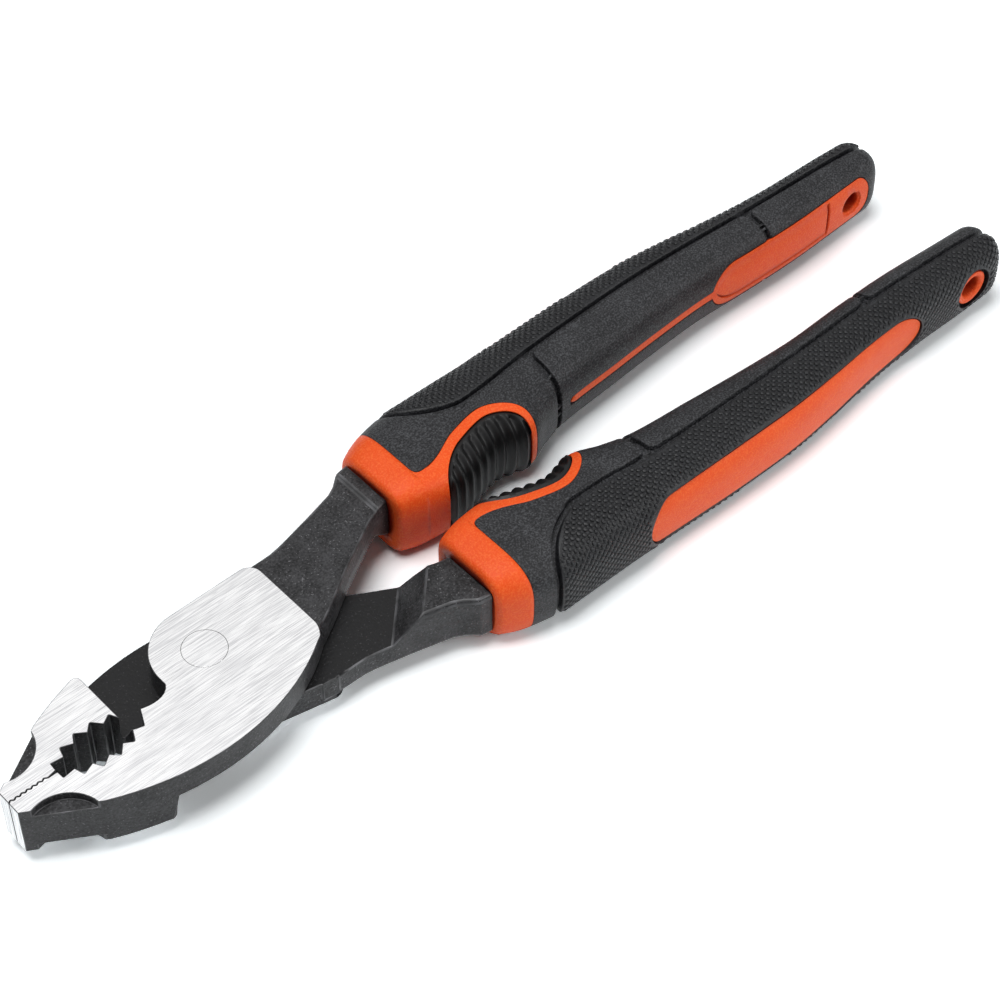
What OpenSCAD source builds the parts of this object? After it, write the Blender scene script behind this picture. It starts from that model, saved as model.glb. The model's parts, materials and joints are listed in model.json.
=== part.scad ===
// Slip joint pliers, 8 inch class: two lapped forged levers, a two-position pivot and two-material grips.
// The tool lies flat. +X runs from the jaws to the handles, +Z is up, the front lever is the upper one.
// The front handle and the rear jaw are on the +Y side.

/* [Head] */
// Length of the nose in front of the pipe grip
nose_len = 7.2; // [6:0.1:9]
// Thickness of the ground head
head_t = 10.2; // [9:0.1:12]
// Distance of the pivot from the centre plane of the handles
pivot_offset = 3.1; // [2.4:0.1:3.8]
// Distance of the line where the jaws meet from the centre plane
jaw_line_drop = 0.8; // [0:0.1:1.2]
// Height of one jaw at the end of the nose
nose_h = 2.3; // [1.8:0.1:3]
// Radius of the front lever's boss round the pivot
front_boss_r = 9; // [8:0.1:10]
// Radius of the rear lever's boss, which holds the two-position slot
rear_boss_r = 12.2; // [12:0.1:13]
// Distance from the pivot to the shoulder where the lap ends
shoulder_reach = 18.3; // [17:0.1:20]
// Distance from the pivot to the end of the ground face
ground_reach = 16.6; // [15:0.1:18]
// Depth of the unground neck below the ground face
neck_drop = 0.5; // [0.3:0.1:1]
// Length of the raised end of the neck in front of the collar
step_len = 2.6; // [2:0.1:3.4]
// Height of that raised end
step_h = 0.4; // [0.2:0.05:0.45]
// Gap between the two lapped faces
lap_gap = 0.1; // [0.06:0.02:0.3]

/* [Teeth] */
// Width of the land between the pipe grip and the front lever's boss
land_w = 5.8; // [5.2:0.1:7]
// Radius of the pipe grip at the roots of its teeth
pipe_r = 13.2; // [12:0.1:14]
// Depth of the pipe grip in one jaw
pipe_depth = 4; // [3.5:0.1:4.4]
// Depth of one pipe tooth
pipe_tooth = 1.45; // [1:0.05:1.7]
// Number of pipe teeth in one jaw
pipe_teeth = 6; // [4:1:8]
// Number of fine teeth on the nose
nose_teeth = 7; // [5:1:9]
// Depth of one fine nose tooth
nose_tooth = 0.35; // [0.2:0.05:0.5]
// Gap between the closed jaws
jaw_gap = 0.1; // [0.05:0.05:0.3]
// Radius of the hollow on the outer side of each nose
scallop_r = 6.5; // [5.5:0.1:7.5]
// Depth of that hollow from either face
scallop_depth = 1.5; // [1:0.1:2]

/* [Pivot] */
// Radius of the pin inside the front lever
pin_r = 3.3; // [3:0.05:3.5]
// Radius of the pin's flush end on the front face
pin_flare_r = 3.75; // [3.6:0.05:4.2]
// Half the width across the pin's two flats
pin_flat = 2.4; // [2:0.05:2.6]
// Radius of the pin's rear head
pin_head_r = 6.6; // [6:0.1:7.2]
// Height of the pin's rear head
pin_head_h = 2.6; // [2:0.1:3]
// Running clearance of the pin, all round
pin_clear = 0.05; // [0.02:0.01:0.1]
// Distance between the two positions of the slot
slip_travel = 4.8; // [4.4:0.1:5]
// Angle of the slot from the length of the tool
slip_angle = 40; // [36:1:42]

/* [Grips] */
// Distance from the pivot to the front face of the collar
collar_reach = 41.7; // [40.5:0.1:44]
// Length of one grip, collar to tip
grip_len = 123.5; // [116:0.5:130]
// Length of the orange collar
collar_len = 5.5; // [5:0.1:6.5]
// Thickness of the black rubber
rubber_t = 1.8; // [1.4:0.1:2]
// Gap left between rubber and core for the bond
bond_gap = 0.3; // [0.25:0.05:0.4]
// Width of the grooves between the panels
groove_w = 1.2; // [0.9:0.1:1.4]
// Distance of the long groove from the centre plane
groove_y = 15.8; // [15.2:0.1:16.2]
// Radius of the rounded tip
tip_r = 4; // [3.4:0.1:4.4]
// Distance from the collar face to the groove in front of the mid panel
mid_start = 38.3; // [37:0.1:40]
// Distance from the collar face to the groove in front of the end panel
end_start = 92.4; // [90:0.1:95]

/* [Grip details] */
// Distance from the collar face to the middle of the thumb pad
thumb_mid = 19.3; // [19:0.1:20]
// Length of the thumb pad
thumb_len = 19.2; // [18:0.1:20]
// Thickness of the thumb pad at its ribs
thumb_t = 1.4; // [1.2:0.1:1.5]
// Half the angle that the thumb pad covers round the grip
thumb_angle = 66; // [58:1:70]
// Width of the orange rim behind the thumb pad
rim_w = 1; // [0.9:0.1:1.5]
// Number of ribs on the thumb pad
thumb_ribs = 9; // [7:1:11]
// Depth of the valleys between the ribs
rib_depth = 0.7; // [0.4:0.1:0.9]
// Distance from the collar face to the front of the outer oval
oval_start = 31; // [29:0.5:33]
// Half the height of the outer oval
oval_half = 5.9; // [5:0.1:6.2]
// Distance from the collar face to the start of the inner spear line
spear_start = 41.5; // [40.5:0.1:44]
// Half the width of the inner spear line
spear_line = 0.7; // [0.5:0.05:0.9]
// Half the height of the inner spear field
spear_half = 4.9; // [4:0.1:5.2]
// Length of the spear field
spear_len = 41; // [39:0.5:43]
// Depth of the orange faces below the black skin
inlay_depth = 0.4; // [0.2:0.05:0.6]
// Radius of the hanging hole
hang_r = 2.1; // [1.8:0.1:2.4]
// Radius of the orange eyelet round the hanging hole
eyelet_r = 3.5; // [3.2:0.1:3.9]
// Distance from the grip's tip to the hanging hole
hang_back = 8.8; // [8:0.1:9.2]

/* [Tang] */
// Length of the steel tang inside the grip
tang_len = 86; // [70:1:90]
// Width of the tang at the collar
tang_w = 10; // [9:0.1:10.6]
// Width of the tang at its end
tang_end_w = 5.5; // [4:0.1:6]
// Thickness of the tang
tang_t = 6; // [5:0.1:6.6]
// Clearance of the moulded core round the tang
tang_clear = 0.05; // [0.02:0.01:0.1]

/* [Hidden] */
$fn = 64;

// Colours
steel = [0.78, 0.78, 0.77];
black_steel = [0.17, 0.17, 0.18];
orange = [0.95, 0.33, 0.14];
rubber = [0.13, 0.13, 0.14];
knobbed = [0.09, 0.09, 0.10];

// Heights of the lever faces, from the lap plane
half_t = head_t / 2;
neck_top = half_t - neck_drop;
lap_z = lap_gap / 2;
over = 1;

// Reach of the pipe grip and of the nose from the pivot
pipe_end_angle = 4;
pipe_half_angle = acos((pipe_r - pipe_depth) / pipe_r) - pipe_end_angle;
pipe_half = pipe_r * sin(pipe_half_angle);
pipe_lead = 0.8;
pipe_reach = front_boss_r + land_w + pipe_half;
pipe_start = -pipe_reach - pipe_half - pipe_lead;
land_start = pipe_half - pipe_reach;
jaw_reach = nose_len - pipe_start;

// Plan of the neck: distance behind the pivot, outer edge, inner edge
neck_plan = [
    [ground_reach - 5, 11.9, -8.9],
    [ground_reach, 12.2, -6],
    [ground_reach + 4, 12.3, -3.7],
    [ground_reach + 10.4, 13.7, 0.4],
    [ground_reach + 17, 15.4, 4.2],
    [collar_reach - 5, 16.4, 6],
    [collar_reach - step_len, 18.3, 6.9],
    [collar_reach, 18.8, 7.5]
];
// How far the neck's edges fall back towards either face, and over what height
outer_fall = [0.5, 0.6];
inner_fall = [0.5, 2.5];
// The lap ends in a ramp up to the full neck, which stands square to the neck's own direction
ramp_back = 12.5;
ramp_reach = collar_reach - ramp_back;
ramp_angle = 45;

// Plan of one grip: share of its length, outer edge, inner edge, half thickness,
// squareness of the outer side and of the inner side (2 is an ellipse)
grip_plan = [
    [0, 20.2, 4.7, 7.2, 3.4, 5],
    [0.023, 21.6, 3.9, 7.9, 3.3, 5],
    [0.045, 22.6, 3.3, 8.2, 3.2, 4.6],
    [0.09, 23.9, 2.5, 8.25, 3, 3.6],
    [0.132, 23.9, 3.6, 8.25, 3, 3.2],
    [0.185, 23.8, 5.2, 8.2, 3, 3],
    [0.237, 23.9, 3.8, 8.1, 3, 3],
    [0.278, 24.1, 5.7, 8.05, 2.9, 3],
    [0.326, 24.3, 7.3, 8, 2.8, 3],
    [0.424, 24.6, 8.3, 7.9, 2.8, 3],
    [0.529, 24.4, 9.3, 7.8, 2.8, 3],
    [0.618, 23.3, 9.8, 7.6, 2.8, 3],
    [0.715, 21.6, 9.4, 7.4, 2.8, 3],
    [0.812, 20.6, 9.3, 7.2, 2.8, 3],
    [0.917, 20.4, 9.9, 7, 2.8, 3],
    [1, 20, 10.4, 6.8, 2.8, 3]
];
grip_half_t = max([for (row = grip_plan) row[3]]);
tip_reach = collar_reach + grip_len;
core_depth = rubber_t + bond_gap;
half_groove = groove_w / 2;
collar_back = collar_reach + collar_len;
mid_x = collar_reach + mid_start;
end_x = collar_reach + end_start;
hang_x = tip_reach - hang_back;
spear_back = 4.2;
spear_end = tip_reach - spear_back;
oval_front = collar_reach + oval_start;
oval_margin = 10.7;
oval_back = hang_x - eyelet_r - oval_margin;
grip_outer = max([for (row = grip_plan) row[1]]);

function share(x) = (x - collar_reach) / grip_len;

// Smooth curve through the rows of a plan
function row_at(plan, x, i = 0) = i >= len(plan) - 2 || x < plan[i + 1][0] ? i : row_at(plan, x, i + 1);
function row_slope(plan, i, c) =
    let (a = max(i - 1, 0), b = min(i + 1, len(plan) - 1))
    (plan[b][c] - plan[a][c]) / (plan[b][0] - plan[a][0]);
function along(plan, x, c) =
    let (
        i = row_at(plan, x),
        gap = plan[i + 1][0] - plan[i][0],
        u = min(max((x - plan[i][0]) / gap, 0), 1)
    )
    (2 * u^3 - 3 * u^2 + 1) * plan[i][c] + (3 * u^2 - 2 * u^3) * plan[i + 1][c]
    + gap * ((u^3 - 2 * u^2 + u) * row_slope(plan, i, c) + (u^3 - u^2) * row_slope(plan, i + 1, c));

function steps(n) = [for (i = [0 : n]) i / n];
function mix(a, b, t) = a + (b - a) * t;
function reversed(list) = [for (i = [len(list) - 1 : -1 : 0]) list[i]];
function arc(c, r, a0, a1, n) = [for (t = steps(n)) c + r * [cos(mix(a0, a1, t)), sin(mix(a0, a1, t))]];
function bezier(p, n) =
    [for (t = steps(n)) (1 - t)^3 * p[0] + 3 * t * (1 - t)^2 * p[1] + 3 * t^2 * (1 - t) * p[2] + t^3 * p[3]];

// Levers. In its own frame a lever has its jaw on -Y, its handle on +Y and its lap on the lower side.

// Zigzag of fine teeth along the nose, from its end to the pipe grip. It starts with a root where first is 0
// and with a tip where first is 1, so that the closed jaws mesh.
function nose_line(y, x_end, first) = [
    for (i = [0 : 2 * nose_teeth])
        [mix(-jaw_reach, x_end, i / (2 * nose_teeth)), y + (i + first) % 2 * nose_tooth]
];

// Pipe teeth: tips and roots on two arcs with one centre, none of them above the jaw line
pipe_pitch = 2 * pipe_half_angle / pipe_teeth;
root_share = 0.42;
function pipe_line(y) = [
    for (i = [0 : pipe_teeth - 1], k = [0, 1])
        let (
            a = -90 - pipe_half_angle + pipe_pitch * (i + k * root_share),
            r = pipe_r - (1 - k) * pipe_tooth
        )
        [r * cos(a) - pipe_reach, y + min(pipe_r - pipe_depth + r * sin(a), 0)]
];

// Flat and hollow between the last pipe tooth and the boss
land_rise = 1.3;
land_hollow = 0.7;
function land_line(y, boss_r) =
    bezier([
        [land_start, y + land_rise],
        [land_start + 1.6, y + land_hollow],
        [-boss_r - 1.2, y + land_hollow - 0.4],
        [-boss_r, y + land_rise + 1.2]
    ], 8);

// Lower edge of the head, from the neck to the heel of the nose
heel_back = 11.2;
jaw_heel = [heel_back - jaw_reach, -9.2];
belly_pull = [-10, -17.9];
neck_pull = [7, -14];
function belly_line(y) =
    bezier([
        [ground_reach, along(neck_plan, ground_reach, 2)],
        neck_pull,
        belly_pull + [0, y],
        jaw_heel + [0, y]
    ], 24);

corner_r = 2.5;
module head_plan(y_jaw, y_pin, boss_r, first) {
    nose_tip = [-jaw_reach, y_jaw - nose_h];
    polygon(concat(
        nose_line(y_jaw, pipe_start, first),
        pipe_line(y_jaw),
        land_line(y_jaw, boss_r),
        arc([0, y_pin], boss_r, 178, 92, 16),
        arc([ground_reach, along(neck_plan, ground_reach, 1)] - [corner_r, corner_r], corner_r, 90, 0, 6),
        belly_line(y_jaw),
        [nose_tip]
    ));
}

// Forged neck: sections along its plan, the last ones raised on the upper side
function neck_ring(x, rise) =
    let (
        y1 = along(neck_plan, x, 1),
        y0 = along(neck_plan, x, 2),
        u = outer_fall,
        v = inner_fall,
        h = neck_top,
        top = h + rise
    )
    [
        [x, y1, top - u[1]], [x, y1 - u[0], top], [x, y0 + v[0], top], [x, y0, top - v[1]],
        [x, y0, v[1] - h], [x, y0 + v[0], -h], [x, y1 - u[0], -h], [x, y1, u[1] - h]
    ];

// Closed loft through rings that all have the same number of points
module loft(rings) {
    n = len(rings[0]);
    last = len(rings) - 1;
    sides = [
        for (i = [0 : last - 1], j = [0 : n - 1])
            let (a = i * n + j, b = i * n + (j + 1) % n)
            each [[a, a + n, b + n], [a, b + n, b]]
    ];
    caps = [[for (j = [0 : n - 1]) j], [for (j = [n - 1 : -1 : 0]) last * n + j]];
    polyhedron([for (ring = rings) each ring], concat(sides, caps));
}

module neck() {
    step_x = collar_reach - step_len;
    loft(concat(
        [for (t = steps(16)) neck_ring(mix(neck_plan[0][0], step_x, t), 0)],
        [neck_ring(step_x + step_h, step_h), neck_ring(collar_reach, step_h)]
    ));
}

// The tang follows the middle of the grip, a little further out at the collar
function grip_mid(at) = (along(grip_plan, at, 1) + along(grip_plan, at, 2)) / 2;
tang_shift = 0.9;
function tang_edge(t, side, clear) =
    let (
        mid = grip_mid(t * tang_len / grip_len) + (1 - t) * tang_shift,
        half_w = mix(tang_w, tang_end_w, t) / 2 + clear
    )
    [collar_reach + t * (tang_len + clear), mid + side * half_w];
module tang(clear) {
    n = 12;
    root = [over, 0];
    linear_extrude(tang_t + 2 * clear, center = true)
        polygon(concat(
            [tang_edge(0, -1, clear) - root],
            [for (t = steps(n)) tang_edge(t, -1, clear)],
            [for (t = reversed(steps(n))) tang_edge(t, 1, clear)],
            [tang_edge(0, 1, clear) - root]
        ));
}

scallop_back = 3.9;
scallop_drop = 9.4;
module scallop(y_jaw) {
    for (side = [-1, 1])
        translate([scallop_back - jaw_reach, y_jaw - scallop_drop, side * half_t])
            cylinder(h = 2 * scallop_depth, r = scallop_r, center = true);
}

// Space below the lap: from the shoulder to the ramp
module lap_space(y_pin) {
    depth = half_t + over + lap_z;
    span = 2 * collar_reach;
    intersection() {
        translate([-shoulder_reach, -span, lap_z - depth])
            cube([2 * span, 2 * span, depth]);
        translate([0, y_pin, lap_z])
            rotate(ramp_angle)
                rotate([90, 0, 0])
                    linear_extrude(2 * span, center = true)
                        polygon([[-span, 0], [ramp_reach, 0], [ramp_reach + depth, -depth], [-span, -depth]]);
    }
}

module lever(y_jaw, y_pin, boss_r, first) {
    difference() {
        union() {
            linear_extrude(head_t, center = true)
                head_plan(y_jaw, y_pin, boss_r, first);
            neck();
            tang(0);
        }
        lap_space(y_pin);
        scallop(y_jaw);
    }
}

// The pin's flared end turns in the front lever's bore
flare_h = 2 * (pin_flare_r - pin_r);
module pin_bore(clear) {
    translate([0, pivot_offset, -over])
        cylinder(h = half_t + 2 * over, r = pin_r + clear);
    translate([0, pivot_offset, half_t - flare_h])
        cylinder(h = flare_h, r1 = pin_r + clear, r2 = pin_flare_r + clear);
}

// Two round seats joined by a neck that only the pin's flats pass
slip_way = slip_travel * [cos(slip_angle), sin(slip_angle)];
module slot() {
    translate([0, pivot_offset, -half_t - over]) {
        for (seat = [[0, 0], -slip_way])
            translate(seat)
                cylinder(h = half_t + 2 * over, r = pin_r + pin_clear);
        rotate(slip_angle)
            translate([-slip_travel, -pin_flat - pin_clear, 0])
                cube([slip_travel, 2 * (pin_flat + pin_clear), half_t + 2 * over]);
    }
}

// Depth of the tooth roots below the line where the jaws meet
root_drop = (jaw_gap + nose_tooth) / 2;

module front_lever() {
    color(steel)
        difference() {
            lever(-jaw_line_drop - root_drop, pivot_offset, front_boss_r, 0);
            pin_bore(pin_clear);
        }
}

module rear_lever() {
    color(black_steel)
        difference() {
            turned()
                lever(jaw_line_drop - root_drop, -pivot_offset, rear_boss_r, 1);
            slot();
        }
}

module pivot_pin() {
    head_chamfer = 0.8;
    color(steel)
        translate([0, pivot_offset, 0]) {
            rotate_extrude()
                polygon([
                    [0, lap_z], [pin_r, lap_z], [pin_r, half_t - flare_h],
                    [pin_flare_r, half_t], [0, half_t]
                ]);
            intersection() {
                translate([0, 0, -half_t - over])
                    cylinder(h = half_t + over + lap_z, r = pin_r);
                rotate(slip_angle)
                    translate([-pin_r, -pin_flat, -half_t - over])
                        cube([2 * pin_r, 2 * pin_flat, half_t + over + lap_z]);
            }
            rotate_extrude()
                polygon([
                    [0, -half_t - pin_clear], [pin_head_r, -half_t - pin_clear],
                    [pin_head_r, -half_t - pin_head_h + head_chamfer],
                    [pin_head_r - head_chamfer, -half_t - pin_head_h], [0, -half_t - pin_head_h]
                ]);
        }
}

// Grips. A place on the skin is [s, angle]: s runs along the handle and round the tip to its middle,
// angle runs from the outer side over the top to the inner side.

bend_x = tip_reach - tip_r;
bend_len = tip_r * PI / 2;
tip_half_w = (along(grip_plan, 1, 1) - along(grip_plan, 1, 2)) / 2;
tip_gap = 0.2;
s_last = bend_x + bend_len + tip_half_w - tip_r - tip_gap;

// Section at s, a depth d below the skin: x, middle y, half width, half thickness
function section(s, d) =
    let (
        at = share(min(s, bend_x)),
        y1 = along(grip_plan, at, 1),
        y0 = along(grip_plan, at, 2),
        r = tip_r - d,
        turn = min(max((s - bend_x) / tip_r * 180 / PI, 0), 90),
        flat = max(s - bend_x - bend_len, 0),
        lost = d + r * (1 - cos(turn)) + flat * (tip_half_w - d) / tip_half_w,
        half_w = (y1 - y0) / 2,
        thin = along(grip_plan, at, 3) - half_w
    )
    [
        min(s, bend_x) + r * sin(turn),
        (y1 + y0) / 2,
        half_w - lost,
        half_w - lost + thin * (1 - min(flat / (tip_half_w - tip_r), 1))
    ];

function rounded(v, power) = sign(v) * abs(v) ^ (2 / power);
function power_at(s, c) = along(grip_plan, share(min(s, bend_x)), c < 0 ? 5 : 4);
function skin(s, angle, d) =
    let (f = section(s, d), power = power_at(s, cos(angle)))
    [f[0], f[1] + f[2] * rounded(cos(angle), power), f[3] * rounded(sin(angle), power)];

// Angle on the skin at a given y, on the upper side, or at a given height
function angle_y(s, y) =
    let (f = section(s, 0), c = min(max((y - f[1]) / f[2], -1), 1))
    acos(rounded(c, 4 / power_at(s, c)));
// The side is 1 for the outer and -1 for the inner side
function angle_z(s, z, side) =
    let (f = section(s, 0))
    asin(min(z / f[3], 0.99) ^ (power_at(s, side) / 2));

// Shell over the skin between two lists of places, from depth d0 down to depth d1
module shell(a, b, d0, d1, spacing, closed) {
    m = len(a);
    w = len(spacing);
    n = w - 1;
    function outer(i, j) = (i % m) * w + j;
    function inner(i, j) = m * w + outer(i, j);
    places = [for (i = [0 : m - 1], t = spacing) mix(a[i], b[i], t)];
    function depth(i) = is_function(d0) ? d0(floor(i / w)) : d0;
    points = concat(
        [for (i = [0 : len(places) - 1]) skin(places[i][0], places[i][1], depth(i))],
        [for (p = places) skin(p[0], p[1], d1)]
    );
    cells = m - (closed ? 1 : 2);
    faces = [
        for (i = [0 : cells], j = [0 : n - 1])
            each [
                [outer(i, j), outer(i + 1, j), outer(i + 1, j + 1)],
                [outer(i, j), outer(i + 1, j + 1), outer(i, j + 1)],
                [inner(i, j), inner(i + 1, j + 1), inner(i + 1, j)],
                [inner(i, j), inner(i, j + 1), inner(i + 1, j + 1)]
            ]
    ];
    walls = [
        for (i = [0 : cells])
            each [
                [outer(i + 1, 0), outer(i, 0), inner(i, 0)],
                [outer(i + 1, 0), inner(i, 0), inner(i + 1, 0)],
                [outer(i, n), outer(i + 1, n), inner(i + 1, n)],
                [outer(i, n), inner(i + 1, n), inner(i, n)]
            ]
    ];
    ends = closed ? [] : [
        for (j = [0 : n - 1])
            each [
                [outer(0, j), outer(0, j + 1), inner(0, j + 1)],
                [outer(0, j), inner(0, j + 1), inner(0, j)],
                [outer(m - 1, j + 1), outer(m - 1, j), inner(m - 1, j)],
                [outer(m - 1, j + 1), inner(m - 1, j), inner(m - 1, j + 1)]
            ]
    ];
    polyhedron(points, concat(faces, walls, ends));
}

// The same places on the lower side, in the same order, and in the opposite order without one or both ends
function all_below(list) = [for (p = list) [p[0], 360 - p[1]]];
function below_from(list) = [for (i = [len(list) - 2 : -1 : 0]) [list[i][0], 360 - list[i][1]]];
function below(list) = [for (i = [len(list) - 2 : -1 : 1]) [list[i][0], 360 - list[i][1]]];
function minus(list) = [for (p = list) [p[0], p[1] - 360]];

// Course of the long groove: share of the grip's length, shift from its mean distance, and how much further out
// it runs on the upper side (1) than on the middle between the upper and the lower side (-1)
groove_plan = [
    [0, -1.4, 0],
    [0.185, -1.4, 0],
    [0.237, -0.9, 0.15],
    [0.278, -0.45, 0.27],
    [0.326, -0.05, 0.45],
    [0.424, 0.3, 0.75],
    [0.529, 0.4, 1.1],
    [0.618, 0.15, 1.3],
    [0.715, -0.2, 1.35],
    [0.812, -0.4, 1.25],
    [0.917, -0.45, 0.9],
    [1, -0.5, 0.2]
];
function groove_at(s, side) =
    let (at = share(min(s, bend_x)))
    groove_y + along(groove_plan, at, 1) + side * along(groove_plan, at, 2);

// Edges of the long groove, on the pad's side and on the panels' side
function pad_edge(s, side) = angle_y(s, groove_at(s, side) + half_groove);
panel_edge_min = 4;
function panel_edge(s, side) = max(angle_y(s, groove_at(s, side) - half_groove), panel_edge_min);

// Front edge of the outer pad: a quarter of an oval, from the outer side to the long groove
pad_lead = 5.4;
pad_front = collar_back + pad_lead;
pad_sweep = 12;
function pad_front_s(a) = pad_front + pad_sweep * (1 - cos(a));
function pad_front_share(a) = sin(a) ^ (2 / 3);

// Outer edge of the rim: it rises from the collar, passes over the thumb pad and closes behind it
thumb_x = collar_reach + thumb_mid;
rim_over = 11;
rim_angle = thumb_angle + rim_over;
rim_front_angle = 62;
rim_lead = 2;
// Degrees round the grip that match one millimetre along it
round_per_mm = 8;
rim_back = thumb_len / 2 + rim_w;
function ease(t) = let (u = min(max(t, 0), 1)) u * u * (3 - 2 * u);
function rim_rise(s) =
    let (ramp = thumb_x - collar_back - 2 * rim_lead)
    mix(rim_front_angle, rim_angle, ease((s - collar_back - rim_lead) / ramp));
function oval(a) = [sign(sin(a)) * abs(sin(a)) ^ (2 / 3), abs(cos(a)) ^ (2 / 3)];
rim_side_steps = 4;
rim_turn_steps = 8;
function rim_places(gap) = concat(
    [for (t = steps(rim_side_steps))
        let (s = mix(collar_back + half_groove, thumb_x, t))
        [s, 180 - rim_rise(s) - gap]],
    [for (i = [1 : rim_turn_steps])
        let (p = oval(90 * i / rim_turn_steps))
        [thumb_x + (rim_back + gap / round_per_mm) * p[0], 180 - (rim_angle + gap) * p[1]]]
);

// Black sleeve behind the collar, joined under the thumb pad's rear end and round the outer side
module cheek() {
    // Turns of the pad's front edge that face the rows on the collar and on the rim
    strip_turns = [0, 4, 8, 12, 16, 20, 26, 36, 46, 60, 76, 90];
    n_front = 6;
    n_groove = 4;
    n_cross = 3;
    rim_gap = 3;
    cheek_t = rubber_t - bond_gap / 2;
    rim = rim_places(rim_gap);
    front_s = collar_back + half_groove / 2;
    rear_s = mid_x - half_groove;
    corner_s = pad_front_s(90) - groove_w;
    front_half = concat(
        [for (i = [0 : n_front - 1]) [front_s, i / n_front * rim[0][1]]],
        rim
    );
    function rear_half(side) = concat(
        [for (a = strip_turns)
            let (s = pad_front_s(a) - groove_w) [s, pad_front_share(a) * panel_edge(s, side)]],
        [for (i = [1 : n_groove]) let (s = mix(corner_s, rear_s, i / n_groove)) [s, panel_edge(s, side)]],
        [for (i = [1 : n_cross]) [rear_s, mix(panel_edge(rear_s, side), 180, i / n_cross)]]
    );
    shell(
        concat(rear_half(1), below(rear_half(-1))),
        concat(front_half, below(front_half)),
        0, cheek_t, steps(6), true
    );
}

// Ribbed pad for the thumb, in a rim of the core
thumb_steps = 2 * thumb_ribs;
thumb_turn = 80;
function thumb_places(grow, n) = [
    for (i = [0 : n])
        let (p = oval(mix(-thumb_turn, thumb_turn, i / n)))
        [thumb_x + (thumb_len / 2 + grow / round_per_mm) * p[0], 180 - (thumb_angle + grow) * p[1]]
];
module thumb_pad() {
    end_gap = 0.4;
    end_fall = 0.93;
    reach = thumb_len / 2 - end_gap;
    upper = [
        for (i = [0 : thumb_steps])
            let (t = mix(-1, 1, i / thumb_steps))
            [thumb_x + reach * t, 180 - thumb_angle * (1 - end_fall * abs(t) ^ 3) ^ (1 / 3)]
    ];
    shell(upper, all_below(upper), function (i) i % 2 * rib_depth, thumb_t, steps(6), false);
}

// Edges of the inner spear: a line that ends in a field with round corners
spear_field = spear_end - spear_len;
spear_flare = 6;
spear_gap = 0.3;
spear_round = 3;
function spear_z(s, gap) =
    let (u = min(max((s - spear_field + gap) / spear_flare, 0), 1))
    max(spear_line, spear_half * sqrt(1 - (1 - u) ^ 2)) + gap;
function spear_angle(s, gap) = angle_z(s, spear_z(s, gap), -1);
// Places along the line and round the field's front corner, from the line's start
spear_line_steps = 5;
spear_turn_steps = 6;
function spear_front(start, gap) = concat(
    [for (i = [0 : spear_line_steps]) mix(start, spear_field - gap, i / spear_line_steps)],
    [for (i = [1 : spear_turn_steps]) spear_field - gap + spear_flare * (1 - cos(90 * i / spear_turn_steps))]
);

module mid_panel() {
    n_turn = 4;
    rear_s = end_x - half_groove;
    front_s = mid_x + half_groove;
    slit_s = collar_reach + spear_start;
    gap = spear_gap;
    field_s = spear_field - gap + spear_flare;
    rows = concat([rear_s, (rear_s + field_s) / 2], reversed(spear_front(slit_s, gap)));
    n_long = len(rows) - 1;
    inner_edge = concat(
        [for (s = rows) [s, 180 - spear_angle(s, gap)]],
        [for (i = [1 : n_turn]) [slit_s - gap, mix(180 - spear_angle(slit_s, gap), 180, i / n_turn)]]
    );
    function outer_edge(side) = concat(
        [for (t = steps(n_long)) let (s = mix(rear_s, front_s, t)) [s, panel_edge(s, side)]],
        [for (i = [1 : n_turn]) [front_s, mix(panel_edge(front_s, side), 180, i / n_turn)]]
    );
    shell(
        concat(inner_edge, below_from(inner_edge)),
        concat(outer_edge(1), below_from(outer_edge(-1))),
        0, rubber_t, steps(5), false
    );
}

module end_panel() {
    n_long = 8;
    n_tip = 5;
    n_turn = 4;
    front_s = end_x + half_groove;
    gap = spear_gap;
    bend_s = spear_end - spear_round;
    function outer_edge(side) = concat(
        [for (t = steps(n_long)) let (s = mix(front_s, bend_x, t)) [s, panel_edge(s, side)]],
        [for (i = [1 : n_tip]) let (s = mix(bend_x, s_last, i / n_tip)) [s, panel_edge(s, side)]],
        [for (i = [1 : n_turn]) [s_last, mix(panel_edge(s_last, side), 180, i / n_turn)]]
    );
    inner_edge = concat(
        [for (t = steps(n_long)) let (s = mix(front_s, bend_s, t)) [s, 180 - spear_angle(s, gap)]],
        [for (i = [1 : n_tip + n_turn])
            let (a = 90 * i / (n_tip + n_turn))
            [bend_s + (spear_end + gap - bend_s) * sin(a), 180 - spear_angle(bend_s, gap) * cos(a)]]
    );
    shell(
        concat(outer_edge(1), below_from(outer_edge(-1))),
        concat(inner_edge, below_from(inner_edge)),
        0, rubber_t, steps(4), false
    );
}

// Outer oval: its edge as a height over the middle plane, with a belly along its length and two round ends
oval_mid = (oval_front + oval_back) / 2;
oval_reach = (oval_back - oval_front) / 2;
oval_belly = 0.18;
oval_taper = 0.07;
oval_round = [5.2, 6.6];
oval_turn_steps = 5;
function oval_place(s, fullness, grow) =
    let (c = (s - oval_mid) / oval_reach)
    [s, angle_z(s, (oval_half * (1 - oval_belly * c ^ 2 - oval_taper * c) + grow) * fullness, 1)];
function oval_places(n, grow) =
    let (front_s = oval_front - grow, back_s = oval_back + grow, r = oval_round, turns = oval_turn_steps)
    concat(
        [for (i = [0 : turns]) let (a = 90 * i / turns) oval_place(front_s + r[0] * (1 - cos(a)), sin(a), grow)],
        [for (i = [1 : n - 1]) oval_place(mix(front_s + r[0], back_s - r[1], i / n), 1, grow)],
        [for (i = [0 : turns]) let (a = 90 * i / turns) oval_place(back_s - r[1] * (1 - sin(a)), cos(a), grow)]
    );

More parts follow.
